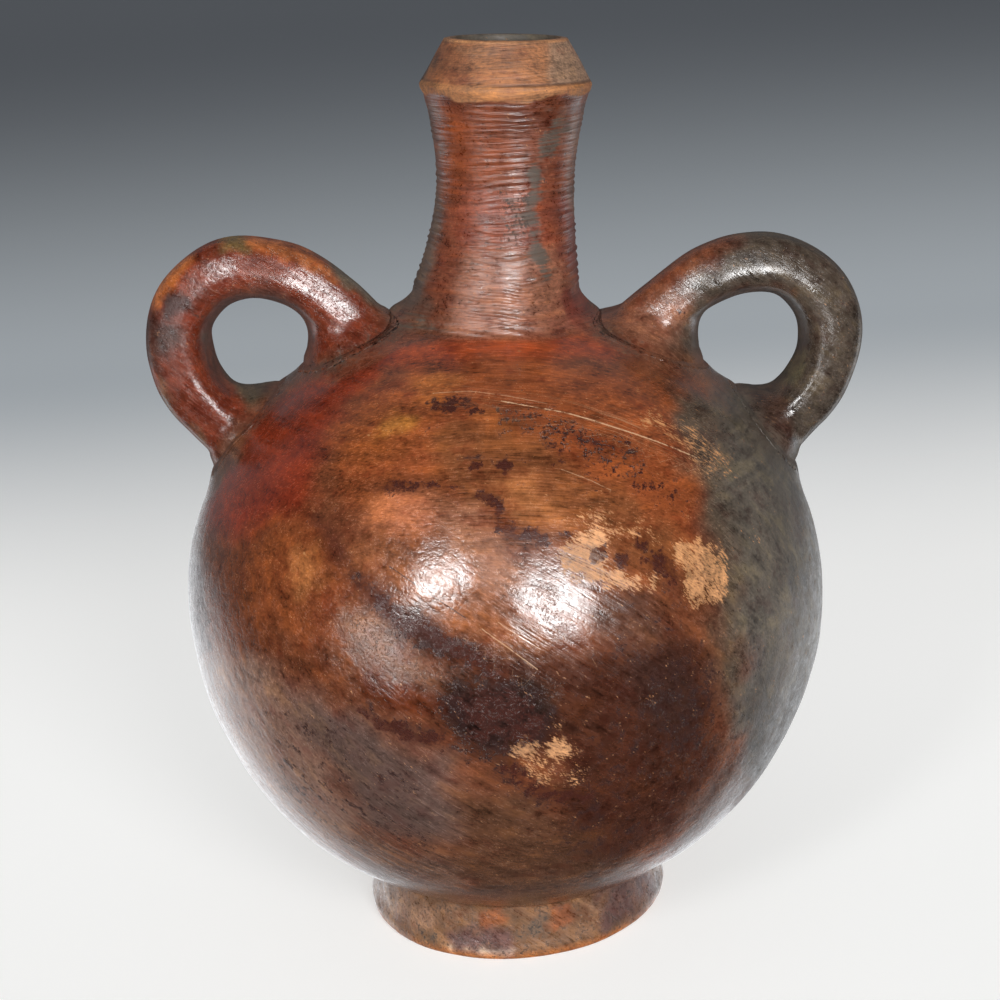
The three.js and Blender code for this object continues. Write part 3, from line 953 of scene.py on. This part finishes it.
soot, burnt, worn, crust, dull, pitted = (np.zeros(count) for _ in range(6))
sootPatches = [
    (0.7, 3, 3, [(428, 397), (455, 393), (482, 402), (478, 414), (440, 414)]),
    (0.6, 4, 4, [(486, 404), (545, 406), (556, 424), (540, 436), (500, 430)]),
    (0.55, 5, 4, [(540, 418), (572, 420), (612, 434), (648, 456), (640, 468), (600, 462), (570, 450),
        (542, 446)]),
    (0.45, 6, 5, [(640, 456), (676, 476), (700, 506), (690, 520), (655, 500), (632, 478)]),
    (0.9, 1.5, 1.5, [(492, 459), (512, 457), (515, 469), (496, 473)]),
    (0.6, 1.5, 2, [(462, 456), (500, 460), (540, 455), (538, 460), (500, 466), (464, 461)]),
    (0.6, 2, 2, [(374, 492), (410, 482), (470, 482), (472, 492), (420, 492), (380, 500)]),
    (0.85, 2, 2, [(466, 486), (492, 490), (503, 500), (506, 524), (497, 522), (492, 508), (470, 500)]),
    (0.6, 2, 2, [(500, 522), (528, 522), (554, 538), (550, 550), (528, 548), (506, 540)]),
    (0.8, 1.5, 1.5, [(560, 530), (578, 532), (576, 539), (562, 537)]),
    (1.0, 1.5, 1.5, [(590, 547), (603, 549), (603, 563), (591, 561)]),
    (0.9, 2, 2, [(614, 554), (628, 555), (627, 565), (616, 564)]),
    (1.0, 2, 1.5, [(637, 539), (648, 540), (648, 552), (638, 550)]),
    (0.9, 3, 3, [(646, 546), (664, 549), (668, 575), (652, 572)]),
    (0.45, 6, 5, [(584, 574), (640, 596), (680, 620), (660, 640), (600, 600)]),
    (0.5, 8, 6, [(660, 560), (690, 620), (700, 680), (660, 700), (640, 650)]),
    (1.0, 8, 6, [(440, 664), (492, 668), (540, 690), (556, 720), (540, 742), (500, 760), (455, 752),
        (436, 710)]),
    (0.8, 7, 5, [(480, 750), (530, 780), (600, 790), (620, 830), (560, 815), (500, 785)]),
    (0.95, 4, 4, [(396, 612), (430, 622), (466, 648), (492, 672), (460, 672), (428, 650), (402, 630)]),
    (0.6, 4, 4, [(330, 545), (350, 560), (380, 592), (398, 614), (376, 604), (346, 574)]),
    (0.85, 3, 3, [(346, 694), (370, 708), (410, 722), (452, 724), (452, 752), (410, 742), (368, 722)]),
    (0.45, 12, 9, [(260, 690), (330, 716), (430, 770), (430, 850), (350, 850), (270, 780)]),
    (0.5, 9, 6, [(560, 815), (640, 810), (650, 850), (590, 870), (540, 860)]),
    (0.42, 12, 8, [(600, 640), (720, 640), (720, 790), (620, 840), (570, 780)]),
    (0.6, 4, 4, [(180, 540), (202, 556), (204, 606), (212, 650), (200, 660), (185, 600)]),
    (0.7, 5, 4, [(636, 690), (700, 680), (716, 730), (690, 760), (650, 740)]),
]
soot = buildPatches(soot, sootPatches, onBody, "wall", 200)
burntPatches = [
    (0.8, 1, 2, [(430, 399), (444, 396), (463, 400), (462, 408), (446, 412), (434, 408)]),
    (0.6, 1, 2, [(464, 401), (480, 400), (484, 410), (468, 412)]),
    (0.52, 1.5, 3, [(549, 420), (566, 418), (590, 430), (592, 448), (574, 452), (556, 444)]),
    (0.52, 1.5, 3, [(590, 434), (618, 436), (641, 450), (640, 460), (612, 454), (592, 446)]),
    (0.9, 0.8, 1, [(606, 438), (618, 440), (616, 447), (606, 446)]),
    (0.9, 0.8, 1, [(628, 447), (641, 452), (640, 460), (629, 456)]),
    (0.45, 2, 4, [(552, 446), (600, 456), (648, 470), (690, 500), (676, 512), (640, 494), (596, 480),
        (556, 462)]),
    (1.0, 0.7, 1.2, [(493, 462), (508, 460), (514, 466), (506, 474), (495, 472)]),
    (0.7, 1, 2, [(378, 486), (396, 482), (440, 481), (458, 486), (440, 492), (400, 492)]),
    (1.0, 0.8, 1.6, [(468, 490), (488, 492), (501, 501), (503, 518), (492, 512), (486, 504), (470, 499)]),
    (0.85, 0.8, 1.6, [(495, 518), (512, 522), (526, 534), (524, 543), (508, 541), (498, 532)]),
    (0.85, 0.8, 1.6, [(523, 527), (538, 528), (555, 540), (550, 551), (534, 547), (523, 538)]),
    (0.95, 0.7, 1, [(560, 531), (577, 531), (577, 538), (563, 538)]),
    (1.0, 0.8, 1.2, [(588, 546), (603, 547), (604, 563), (590, 564)]),
    (0.9, 0.8, 1.2, [(613, 552), (627, 551), (627, 567), (614, 566)]),
    (0.9, 0.8, 1.2, [(634, 539), (649, 538), (649, 550), (636, 550)]),
    (0.75, 1.5, 3, [(640, 552), (664, 548), (680, 560), (676, 582), (650, 576)]),
    (0.85, 1.5, 2.5, [(370, 592), (399, 608), (428, 622), (450, 636), (476, 652), (492, 676), (474, 670),
        (446, 652), (420, 642), (394, 626), (374, 606)]),
    (0.8, 1.5, 3, [(352, 702), (372, 716), (410, 726), (446, 728), (450, 748), (418, 744), (378, 730)]),
    (0.95, 1, 1.5, [(500, 762), (520, 768), (541, 784), (562, 790), (594, 796), (596, 803), (560, 803),
        (526, 792)]),
    (0.7, 2, 4, [(456, 690), (484, 684), (516, 690), (540, 702), (546, 728), (520, 744), (480, 742),
        (458, 720)]),
    (0.8, 1, 1.5, [(193, 560), (201, 564), (203, 604), (196, 606)]),
]
burnt = buildPatches(burnt, burntPatches, onBody, "wall", 300)
wavyLine = [(464, 469), (471, 465), (486, 463), (500, 460), (523, 459), (538, 457)]
burnt = build(burnt, onBody * streak(wavyLine, 0.7, 0.7, 0.8, seed=330), 0.9)
underLens = [(348, 700), (372, 716), (410, 736), (446, 750), (500, 768), (556, 802), (590, 822)]
soot = build(soot, onBody * streak(underLens, 1.6, 2, 1.5, seed=228), 0.9)
wornPatches = [
    (1.0, 3, 3, [(674, 542), (700, 542), (724, 552), (728, 566), (730, 578), (728, 600), (708, 604),
        (692, 606), (682, 578), (674, 560)]),
    (1.0, 3, 3, [(556, 556), (574, 540), (590, 532), (612, 532), (606, 548), (612, 566), (642, 578),
        (640, 590), (612, 586), (580, 580), (558, 576)]),
    (0.8, 2, 2, [(648, 572), (660, 574), (658, 592), (651, 592)]),
    (0.55, 5, 4, [(560, 512), (600, 508), (660, 530), (676, 548), (640, 542), (590, 530)]),
    (1.0, 1.5, 1, [(540, 748), (556, 743), (569, 744), (570, 755), (556, 760), (542, 762)]),
    (0.8, 2.5, 2.5, [(508, 752), (518, 738), (536, 742), (544, 762), (556, 784), (540, 784), (520, 768)]),
    (0.34, 4, 3, [(548, 730), (566, 728), (572, 742), (590, 764), (584, 790), (560, 784), (552, 760)]),
    (0.6, 3, 3, [(640, 410), (664, 404), (668, 418), (650, 428)]),
    (0.9, 1.2, 1, [(637, 701), (654, 692), (655, 697), (640, 705)]),
    (0.5, 6, 5, [(652, 416), (690, 420), (730, 452), (740, 480), (700, 474), (676, 446)]),
]
worn = buildPatches(worn, wornPatches, onBody, "wall", 230)
pittedPatches = [
    (1.0, 4, 3, [(340, 612), (368, 606), (402, 636), (440, 672), (430, 692), (395, 678), (355, 648)]),
    (1.0, 5, 4, [(486, 404), (545, 406), (600, 430), (650, 456), (640, 474), (590, 462), (540, 440),
        (500, 430)]),
    (0.7, 5, 4, [(372, 594), (420, 616), (480, 650), (560, 690), (540, 760), (450, 750), (430, 690),
        (400, 640)]),
    (0.5, 5, 4, [(540, 580), (560, 590), (580, 640), (545, 640), (530, 610)]),
    (0.4, 6, 5, [(640, 680), (700, 680), (710, 780), (640, 790)]),
]
pitted = buildPatches(pitted, pittedPatches, onBody, "wall", 250)
for share, strength in ((onLeft, 0.6), (onRight, 0.3), (onFoot, 0.8)):
    pitted = build(pitted, share, strength)
pittedNeck = [(498, 190), (532, 190), (534, 250), (500, 250)]
pitted = build(pitted, onNeck * patch(pittedNeck, 4, 3, on="neck"), 1)

dull = build(dull, onBody * patch(greyCloud, 18, 9, seed=250), 0.6)
for share, strength in ((onRim, 0.9), (inHollow, 1), (onFoot, 0.35), (onNeck, 0.2), (onHandle, 0.12)):
    dull = build(dull, share, strength)
leftLimb = [(130, 295), (184, 296), (188, 345), (196, 366), (176, 400), (130, 400)]
dull = build(dull, onLeft * patch(leftLimb, 5, on="handle"), 0.45)
gapRings = dict(width=58, tall=55, sides=16)
for share, (gapX, gapY) in ((onLeft, (257, 341)), (onRight, (750, 340))):
    turns = [math.tau * k / gapRings["sides"] for k in range(gapRings["sides"])]
    ring = [(gapX + gapRings["width"] * math.cos(t), gapY + gapRings["tall"] * math.sin(t)) for t in turns]
    around = share * patch(ring, 4, on="handle")
    dull = build(dull, around, 1)
    # Painted shade: the inner side of the loop, under the arch, laid darker
    lay(around * 0.55, tone(66, 48, 38))
glossy = [(330, 606), (356, 586), (400, 596), (450, 624), (492, 660), (488, 690), (452, 724), (400, 728),
          (346, 706)]
dull = dull - onBody * patch(glossy, 8, 4, seed=251) * 0.5

# Bare clay along the rim's edge, the lip and the foot's lower edge
angle = np.arctan2(own[:, 1], axisX)
bareDepth = 6 + 1.4 * np.sin(3 * angle + 0.6) + 0.9 * np.sin(8 * angle) + 0.9 * wobble(own, 12, 261)
bare = smoothstep(rimEdgeZ - bareDepth - 0.8, rimEdgeZ - bareDepth + 0.8, height)
bare *= 1 - smoothstep(rimEdgeZ + 0.6, rimEdgeZ + 1.6, height)
lay(onWall * bare, tone(142, 93, 54))
lineHeight = rimEdgeZ + 1.2 + 0.25 * wobble(own, 30, 263)
incised = onWall * (1 - smoothstep(0.3, 0.9, np.abs(height - lineHeight)))
incised *= smoothstep(math.radians(-110), math.radians(-90), angle) * (neckAway > 20)
front = smoothstep(20, -16, own[:, 1])
lipBand = smoothstep(lipZ - 2.2, lipZ - 0.8, height) * (neckAway > rim["lipRadius"] - rim["lipWidth"] - 1)
lay(np.maximum(onWall, inHollow) * lipBand, tone(78, 70, 60))
lay(np.maximum(onWall, inHollow) * lipBand * front, tone(160, 110, 72))
dull = build(dull, onWall * bare, 1)
footLow = onFoot * (1 - smoothstep(2.4, 4.4, points[:, 2] + 0.5 * wobble(own, 18, 262)))
lay(footLow, tone(166, 100, 52))
neckCrust = [
    (0.8, 6, 4, [(502, 196), (532, 194), (534, 246), (500, 250)]),
    (0.5, 6, 4, [(540, 104), (568, 108), (562, 146), (548, 146)]),
    (0.65, 5, 4, [(390, 300), (440, 312), (450, 345), (390, 345)]),
    (0.7, 5, 4, [(574, 300), (620, 300), (620, 345), (580, 345)]),
]
crust = buildPatches(crust, neckCrust, onNeck, "neck", 270)
neckStreak = [(556, 126), (552, 142), (541, 158), (534, 178), (532, 206), (532, 232), (537, 252), (546, 276)]
crust = build(crust, onNeck * streak(neckStreak, 4.5, 5, 3, on="neck", seed=276), 1.2)
bodyCrust = [
    (0.6, 3, 3, [(494, 406), (520, 404), (542, 410), (540, 432), (506, 426)]),
    (0.7, 4, 3, [(322, 352), (356, 344), (420, 322), (420, 336), (366, 366), (330, 380)]),
    (0.5, 4, 4, [(604, 316), (640, 330), (650, 360), (610, 340)]),
    (0.5, 4, 3, [(600, 436), (640, 452), (630, 462), (600, 450)]),
]
crust = buildPatches(crust, bodyCrust, onBody, "wall", 280)
footCrust = [
    (0.8, 2, 2, [(415, 926), (440, 930), (442, 944), (420, 940)]),
    (0.8, 3, 3, [(510, 912), (550, 912), (552, 944), (520, 944)]),
]
crust = buildPatches(crust, footCrust, onFoot, "foot", 290)
crust = build(crust, onHandle * (1 - smoothstep(-2, 14, np.abs(offShoulder(own)[0]))), 0.5)
for seam in handleSeams:
    moved, _, hold = alongSeam(points, seam, 11, 1)
    strength = np.clip(0.8 + 0.5 * wobble(own[moved], 24, 277), 0.2, 1.1)
    crust[moved] = np.maximum(crust[moved], hold * strength)
for share, strength in ((onFoot, 0.42), (inHollow, 0.5), (onWall * lipBand * (1 - front), 0.6)):
    crust = build(crust, share, strength)

# Long scratches along the shoulder, as distance across and along their line
scratchLine = [(430, 388), (500, 396), (560, 406), (620, 424), (690, 458), (730, 490)]
signed, along, run = besideLine(flat, ontoWall(scratchLine))
scratchMap = np.column_stack((signed, along, np.zeros(count)))
scratchHold = onBody * smoothstep(-4, 6, 11 - np.abs(signed))
scratchHold *= smoothstep(0, 30, along) * smoothstep(0, 30, run - along)
cutLines = [
    [(384, 563), (426, 592), (468, 620)],
    [(498, 399), (533, 406), (565, 411.5), (597, 420), (640, 434), (700, 458)],
    [(431, 393), (470, 390.5), (509, 395), (548, 403)],
    [(480, 628), (511, 650), (542, 673)],
    [(497, 622), (520, 637), (545, 652)],
    [(560, 468), (590, 479), (616, 492)],
]
cutReach = dict(beside=12, end=6, farOff=30)
cuts = []
for line in cutLines:
    signed, along, run = besideLine(flat, ontoWall(line))
    beyond = np.maximum(cutReach["end"] - along, 0) + np.maximum(along - run + cutReach["end"], 0)
    held = (onBody > 0.5) & (np.abs(signed) < cutReach["beside"]) & (along > 0) & (along < run)
    cuts.append(np.where(held, signed + np.sign(signed) * beyond * 0.05, cutReach["farOff"]))

# Above, the strokes run round the shoulder. Lower down they run slantwise
strokesRound = onBody * smoothstep(0.35, 0.62, (height - bodyCentreZ) / body["rise"])
strokesRound = np.maximum(strokesRound, onNeck)

# Paint runs over the handles' seams without a step
for seam in handleSeams:
    moved, pool, hold = alongSeam(points, seam, 16, 6)
    means = averaged(points, clayShare, moved, pool, 6, slip, soot, crust, dull, pitted)
    for values, mean in zip((slip, soot, crust, dull, pitted), means):
        share = hold[:, None] if values.ndim > 1 else hold
        values[moved] += (mean - values[moved]) * share


def painted(kind, field, **layers):
    for name, values in layers.items():
        attribute = data.attributes.new(name, kind, "POINT")
        attribute.data.foreach_set(field, values.astype(np.float32).ravel())


painted("FLOAT_COLOR", "color", slip=np.column_stack((slip, np.ones(count))))
painted("FLOAT_VECTOR", "vector", scratchMap=scratchMap, cutsAbove=np.column_stack(cuts[:3]),
        cutsBelow=np.column_stack(cuts[3:]))
painted("FLOAT", "value", soot=soot, burnt=burnt, worn=worn, crust=crust, dull=dull, pitted=pitted,
        incised=incised, scratchHold=scratchHold, strokesRound=strokesRound, neckHold=onNeck,
        rimHold=np.maximum(onNeck, onHandle))

print("firing")


def freshMaterial(name):
    made = bpy.data.materials.new(name)
    made.use_nodes = True
    made.node_tree.nodes.clear()
    return made


material = freshMaterial("burnishedClay")
tree = material.node_tree


# A value in the shader that can be added, multiplied and so on like a number
class Wash:
    def __init__(self, socket):
        self.socket = socket

    def __add__(self, other):
        return maths("ADD", self, other)

    def __radd__(self, other):
        return maths("ADD", other, self)

    def __sub__(self, other):
        return maths("SUBTRACT", self, other)

    def __rsub__(self, other):
        return maths("SUBTRACT", other, self)

    def __mul__(self, other):
        return maths("MULTIPLY", self, other)

    def __rmul__(self, other):
        return maths("MULTIPLY", other, self)


def node(kind, settings=None, output=0, **sockets):
    made = tree.nodes.new("ShaderNode" + kind)
    for key, value in (settings or {}).items():
        setattr(made, key, value)
    for key, value in sockets.items():
        numbered = key[0] == "n" and key[1:].isdigit()
        socket = made.inputs[int(key[1:]) if numbered else key.replace("_", " ")]
        if isinstance(value, Wash):
            tree.links.new(value.socket, socket)
        else:
            socket.default_value = value
    return Wash(made.outputs[output]) if made.outputs else made


def maths(operation, first, second=0.0):
    return node("Math", {"operation": operation}, n0=first, n1=second)


def rgba(*colour):
    return (*[float(c) for c in tone(*colour)], 1.0)


def blend(share, under, over):
    settings = {"data_type": "RGBA", "clamp_factor": True}
    return node("Mix", settings, output=2, n0=share, n6=under, n7=over)


def multiplied(colour, shade):
    return node("VectorMath", {"operation": "SCALE"}, n0=colour, Scale=shade)


def tinted(colour, shares):
    return node("VectorMath", {"operation": "MULTIPLY"}, n0=colour, n1=shares)


def ramp(value, low, high, bottom=0.0, top=1.0):
    settings = {"interpolation_type": "SMOOTHSTEP"}
    return node("MapRange", settings, Value=value, From_Min=low, From_Max=high, To_Min=bottom, To_Max=top)


def attribute(name, output=2):
    return node("Attribute", {"attribute_name": name}, output=output)


place = node("TexCoord", output=3)


# Noise round zero, whose features are so many millimetres along each axis, after a turn of the axes
def grain(size, turn=(0, 0, 0), detail=3.0, rough=0.55, source=None, seed=0.0):
    scaled = [s * (mm if source is None else 1) for s in size]
    where = node("Mapping", {"vector_type": "TEXTURE"}, Vector=source or place, Location=(seed, seed, seed),
                 Rotation=[math.radians(t) for t in turn], Scale=scaled)
    return node("TexNoise", {"noise_dimensions": "3D"}, Vector=where, Scale=1.0, Detail=detail,
                Roughness=rough) - 0.5


paintedColour = attribute("slip", 0)
sootAmount, burntAmount, wornAmount, crustAmount, dullAmount, pittedAmount = (
    attribute(name) for name in ("soot", "burnt", "worn", "crust", "dull", "pitted"))
incisedLine, neckHeld, rimHeld, scratchHeld, roundShare = (
    attribute(name) for name in ("incised", "neckHold", "rimHold", "scratchHold", "strokesRound"))

# Burnishing strokes and the pebble's facets run aslant on the belly and round on shoulder and neck
strokesAslant = grain((1.2, 1.2, 30), turn=(0, 130, 0), detail=3, rough=0.65)
arcs = grain((0.95, 0.95, 34), turn=(0, 97, 0), detail=2, rough=0.65, seed=0.31)
strokes = strokesAslant + (arcs - strokesAslant) * roundShare
pebbleAslant = grain((6, 6, 46), turn=(0, 127, 0), detail=3, rough=0.64, seed=0.72)
pebbleRound = grain((46, 46, 5), detail=3, rough=0.64, seed=0.17)
pebble = pebbleAslant + (pebbleRound - pebbleAslant) * roundShare
cloud = grain((24, 24, 24), detail=3, rough=0.62, seed=0.12)
mottle = grain((6, 6, 6), detail=4, rough=0.68, seed=0.47)
speck = grain((1.5, 1.5, 1.5), detail=2, rough=0.7, seed=0.83)
tint = grain((15, 15, 24), turn=(0, 118, 0), detail=5, rough=0.66, seed=0.55)
combing = grain((46, 46, 1.0), detail=2, rough=0.6, seed=0.91)
wear = grain((0.8, 0.8, 9), turn=(0, 152, 0), detail=4, rough=0.66, seed=0.66)
wearAcross = grain((0.75, 0.75, 12), turn=(0, 120, 0), detail=3, rough=0.62, seed=0.26)


# Small round marks scattered over cells of a size, in some of the cells
def dots(size, radius, chance, stretch=1.0, turn=0, seed=0.0):
    where = node("Mapping", {"vector_type": "TEXTURE"}, Vector=place, Location=(seed, seed, seed),
                 Rotation=(0, math.radians(turn), 0), Scale=(size * mm, size * mm, size * stretch * mm))
    cells = node("TexVoronoi", {"feature": "F1"}, Vector=where, Scale=1.0, Randomness=1.0).socket.node.outputs
    reach = Wash(cells["Distance"]) + speck * 0.12
    chosen = ramp(Wash(cells["Color"]), 1 - chance, 1.03 - chance)
    return (1 - ramp(reach, 0.5 * radius / size, 1.1 * radius / size)) * chosen


# What lies over the slip
stains = dict(
    soot=(46, 27, 25),
    charred=(60, 27, 20),
    bareClay=(166, 117, 74),
    crust=(66, 62, 53),
    pitMark=(46, 30, 26),
    dust=(168, 134, 108),
    chip=(178, 128, 84),
    pit=(34, 22, 20),
    scratch=(186, 140, 104),
    cut=(40, 22, 18),
    paleCut=(206, 168, 132),
    incised=(70, 42, 28),
)
gloss = dict(smooth=0.2, least=0.08, ior=1.68)


def stained(share, colour, stain):
    return blend(share, colour, rgba(*stains[stain]))


# A fine line wherever a signed distance is near zero
def fineLine(distance, width):
    return 1 - ramp(maths("ABSOLUTE", Wash(distance)), 0.3 * width, width)


shade = 1.0 + cloud * 0.9 + mottle * 1.3 + pebble * 1.5 + strokes * 1.2 + arcs * 0.6 + speck * 0.7
colour = multiplied(paintedColour, maths("MAXIMUM", shade, 0.3))
colour = blend(ramp(tint + pebble * 0.6, 0, 0.2) * 0.7, colour, tinted(colour, (1.3, 1.25, 1.0)))
colour = blend(ramp(tint + mottle * 0.6, 0, -0.2) * 0.7, colour, tinted(colour, (0.78, 0.6, 0.6)))

sooty = ramp(sootAmount + mottle * 2.4 + speck * 1.2 + cloud * 0.9 + pebble, 0.34, 1.0)
colour = stained(sooty * (0.8 + mottle * 0.9), colour, "soot")
charred = ramp(burntAmount + mottle * 2.0 + speck * 1.3 + strokes * 0.8, 0.4, 0.74)
colour = stained(charred * (0.78 + mottle * 2.2), colour, "charred")

rubbedBare = ramp(wornAmount + wear * 2.2 + wearAcross * 2.2 + mottle * 1.2, 0.46, 0.98)
rubbedBare = rubbedBare * (1 - charred * 0.85)
bareShade = 1.0 + mottle * 2.4 + wearAcross * 2.0 + cloud * 1.6 + speck * 0.8
bareClay = multiplied(tone(*stains["bareClay"]), bareShade)
colour = blend(rubbedBare * 0.9, colour, bareClay)

crusted = ramp(crustAmount + mottle * 1.4 + speck + combing * neckHeld * 2.0, 0.42, 1.25)
colour = stained(crusted * 0.85, colour, "crust")
pitMarks = pittedAmount * ramp(speck + mottle * 0.7, 0.06, 0.16)
colour = stained(pitMarks * 0.6, colour, "pitMark")
colour = stained(dots(5.5, 0.5, 0.3, seed=0.4) * (0.25 + sooty * 0.75) * 0.6, colour, "dust")
chips = dots(13, 0.8, 0.25, stretch=2.2, turn=122, seed=0.9) * (1 - neckHeld)
colour = stained(chips * 0.65, colour, "chip")
colour = stained(dots(11, 0.55, 0.3, seed=0.2) * 0.75, colour, "pit")

scratchNoise = grain((0.5, 70, 1), detail=2, rough=0.4, source=attribute("scratchMap", 1))
colour = stained(scratchHeld * ramp(scratchNoise, 0.11, 0.17) * 0.5, colour, "scratch")
dark, *pale = [line for name in ("cutsAbove", "cutsBelow")
               for line in node("SeparateXYZ", Vector=attribute(name, 1)).socket.node.outputs]
colour = stained(fineLine(dark, 0.45) * 0.8, colour, "cut")
paleCuts = fineLine(pale[0], 0.6)
for line, width, strength in zip(pale[1:], (0.35, 0.4, 0.35, 0.35), (0.6, 0.6, 0.5, 0.5)):
    paleCuts = paleCuts + fineLine(line, width) * strength
paleCuts = paleCuts * ramp(mottle + strokes * 0.5, -0.16, 0)
colour = stained(paleCuts * 0.8, colour, "paleCut")
colour = stained(incisedLine * 0.7, colour, "incised")

grazing = ramp(node("LayerWeight", output=1, Blend=0.5), 0.5, 0.9)
roughness = gloss["smooth"] + strokes * 0.45 + mottle * 0.5 + neckHeld * 0.08 + rubbedBare * 0.35
roughness = roughness + crusted * 0.3 + dullAmount * 0.4 + rimHeld * grazing * 0.5
roughness = maths("MAXIMUM", roughness, gloss["least"])

calm = ramp(dullAmount, -0.4, 0.0, 0.2, 1.0) # where the burnish is at its best
relief = strokes * 0.1 + pebble * 0.34 + mottle * (0.2 + pittedAmount * 0.15)
relief = (relief + speck * (0.06 + pittedAmount * 0.08)) * calm - pitMarks * 0.22
relief = relief + neckHeld * combing * 0.42 - incisedLine * 0.35
bump = node("Bump", Strength=1.0, Distance=mm, Height=relief)
node("OutputMaterial", Surface=node("BsdfPrincipled", Base_Color=colour, Roughness=roughness,
                                    IOR=gloss["ior"], Normal=bump))
data.materials.clear()
data.materials.append(material)

print("studio")

# The floor runs back and curves up into a sweep, graded from pale to dark as the backdrop is
sweep = dict(front=-4.0, start=1.7, radius=1.5, top=5.0, halfWidth=5.0, steps=16)
paper = dict(near=(171, 171, 170), nearer=(193, 193, 192), half=(134, 139, 143), far=(65, 68, 72),
             roughness=0.8, glow=1.16)

floorLine = [(sweep["front"], 0.0), (sweep["start"], 0.0)]
for step in range(1, sweep["steps"] + 1):
    turn = math.radians(90 * step / sweep["steps"])
    floorLine.append((sweep["start"] + sweep["radius"] * math.sin(turn),
                      sweep["radius"] * (1 - math.cos(turn))))
floorLine.append((sweep["start"] + sweep["radius"], sweep["top"]))
floorData = bpy.data.meshes.new("studioFloor")
floorPoints = [(x, y, z) for y, z in floorLine for x in (-sweep["halfWidth"], sweep["halfWidth"])]
floorFaces = [(2 * i, 2 * i + 1, 2 * i + 3, 2 * i + 2) for i in range(len(floorLine) - 1)]
floorData.from_pydata(floorPoints, [], floorFaces)
floorData.shade_smooth()
paleFloor = freshMaterial("paleFloor")
tree = paleFloor.node_tree
floorPlace = node("SeparateXYZ", Vector=node("TexCoord", output=3)).socket.node.outputs
away = Wash(floorPlace[1]) + Wash(floorPlace[2])
graded = blend(ramp(away, -0.6, 0.4), rgba(*paper["near"]), rgba(*paper["nearer"]))
graded = blend(ramp(away, 0.45, 1.5), graded, rgba(*paper["half"]))
graded = blend(ramp(away, 1.55, 3.1), graded, rgba(*paper["far"]))
node("OutputMaterial", Surface=node("BsdfPrincipled", Base_Color=graded, Roughness=paper["roughness"],
                                    Emission_Color=graded, Emission_Strength=paper["glow"]))
floorData.materials.append(paleFloor)
floor = bpy.data.objects.new("studioFloor", floorData)
bpy.context.scene.collection.objects.link(floor)
floor.visible_glossy = False

potMiddle = Vector((-0.010, 0, 0.2))


def softbox(name, azimuth, elevation, distance, width, tall, power, roll=0):
    light = bpy.data.lights.new(name, "AREA")
    light.shape = "RECTANGLE"
    light.size = width
    light.size_y = tall
    light.energy = power
    lamp = bpy.data.objects.new(name, light)
    across, up = math.radians(azimuth), math.radians(elevation)
    way = Vector((math.sin(across) * math.cos(up), -math.cos(across) * math.cos(up), math.sin(up)))
    lamp.location = potMiddle + way * distance
    lamp.rotation_euler = (way.to_track_quat("Z", "Y").to_matrix()
                           @ Matrix.Rotation(math.radians(roll), 3, "Z")).to_euler()
    bpy.context.scene.collection.objects.link(lamp)


softbox("rightFrontBox", 17, 18, 1.7, 0.5, 0.6, 23)
softbox("leftFrontBox", -25, 28, 1.7, 0.25, 0.42, 9)
softbox("lowLeftBox", -43, 0, 1.9, 0.85, 0.12, 5.5, roll=-42)
softbox("upperFrontBox", -4, 34, 1.8, 1.3, 0.8, 2.5)
softbox("overheadBox", 0, 80, 2.2, 2.6, 2.2, 8)
bpy.data.objects["overheadBox"].visible_glossy = False

# A dim room in front and above, and pale sides
world = bpy.data.worlds.new("paleStudio")
world.use_nodes = True
tree = world.node_tree
tree.nodes.clear()
direction = node("SeparateXYZ", Vector=node("TexCoord", output=0)).socket.node.outputs
sideways, upward = Wash(direction[1]), Wash(direction[2])
paleness = ramp(sideways, 0.12, 0.6) * (0.1 + ramp(upward, -0.06, -0.38) * 0.9) * ramp(upward, -0.95, -0.5)
node("OutputWorld", Surface=node("Background", Color=(0.9, 0.93, 0.96, 1), Strength=0.03 + paleness * 1.8))
bpy.context.scene.world = world
bpy.context.scene.view_settings.view_transform = "Standard"
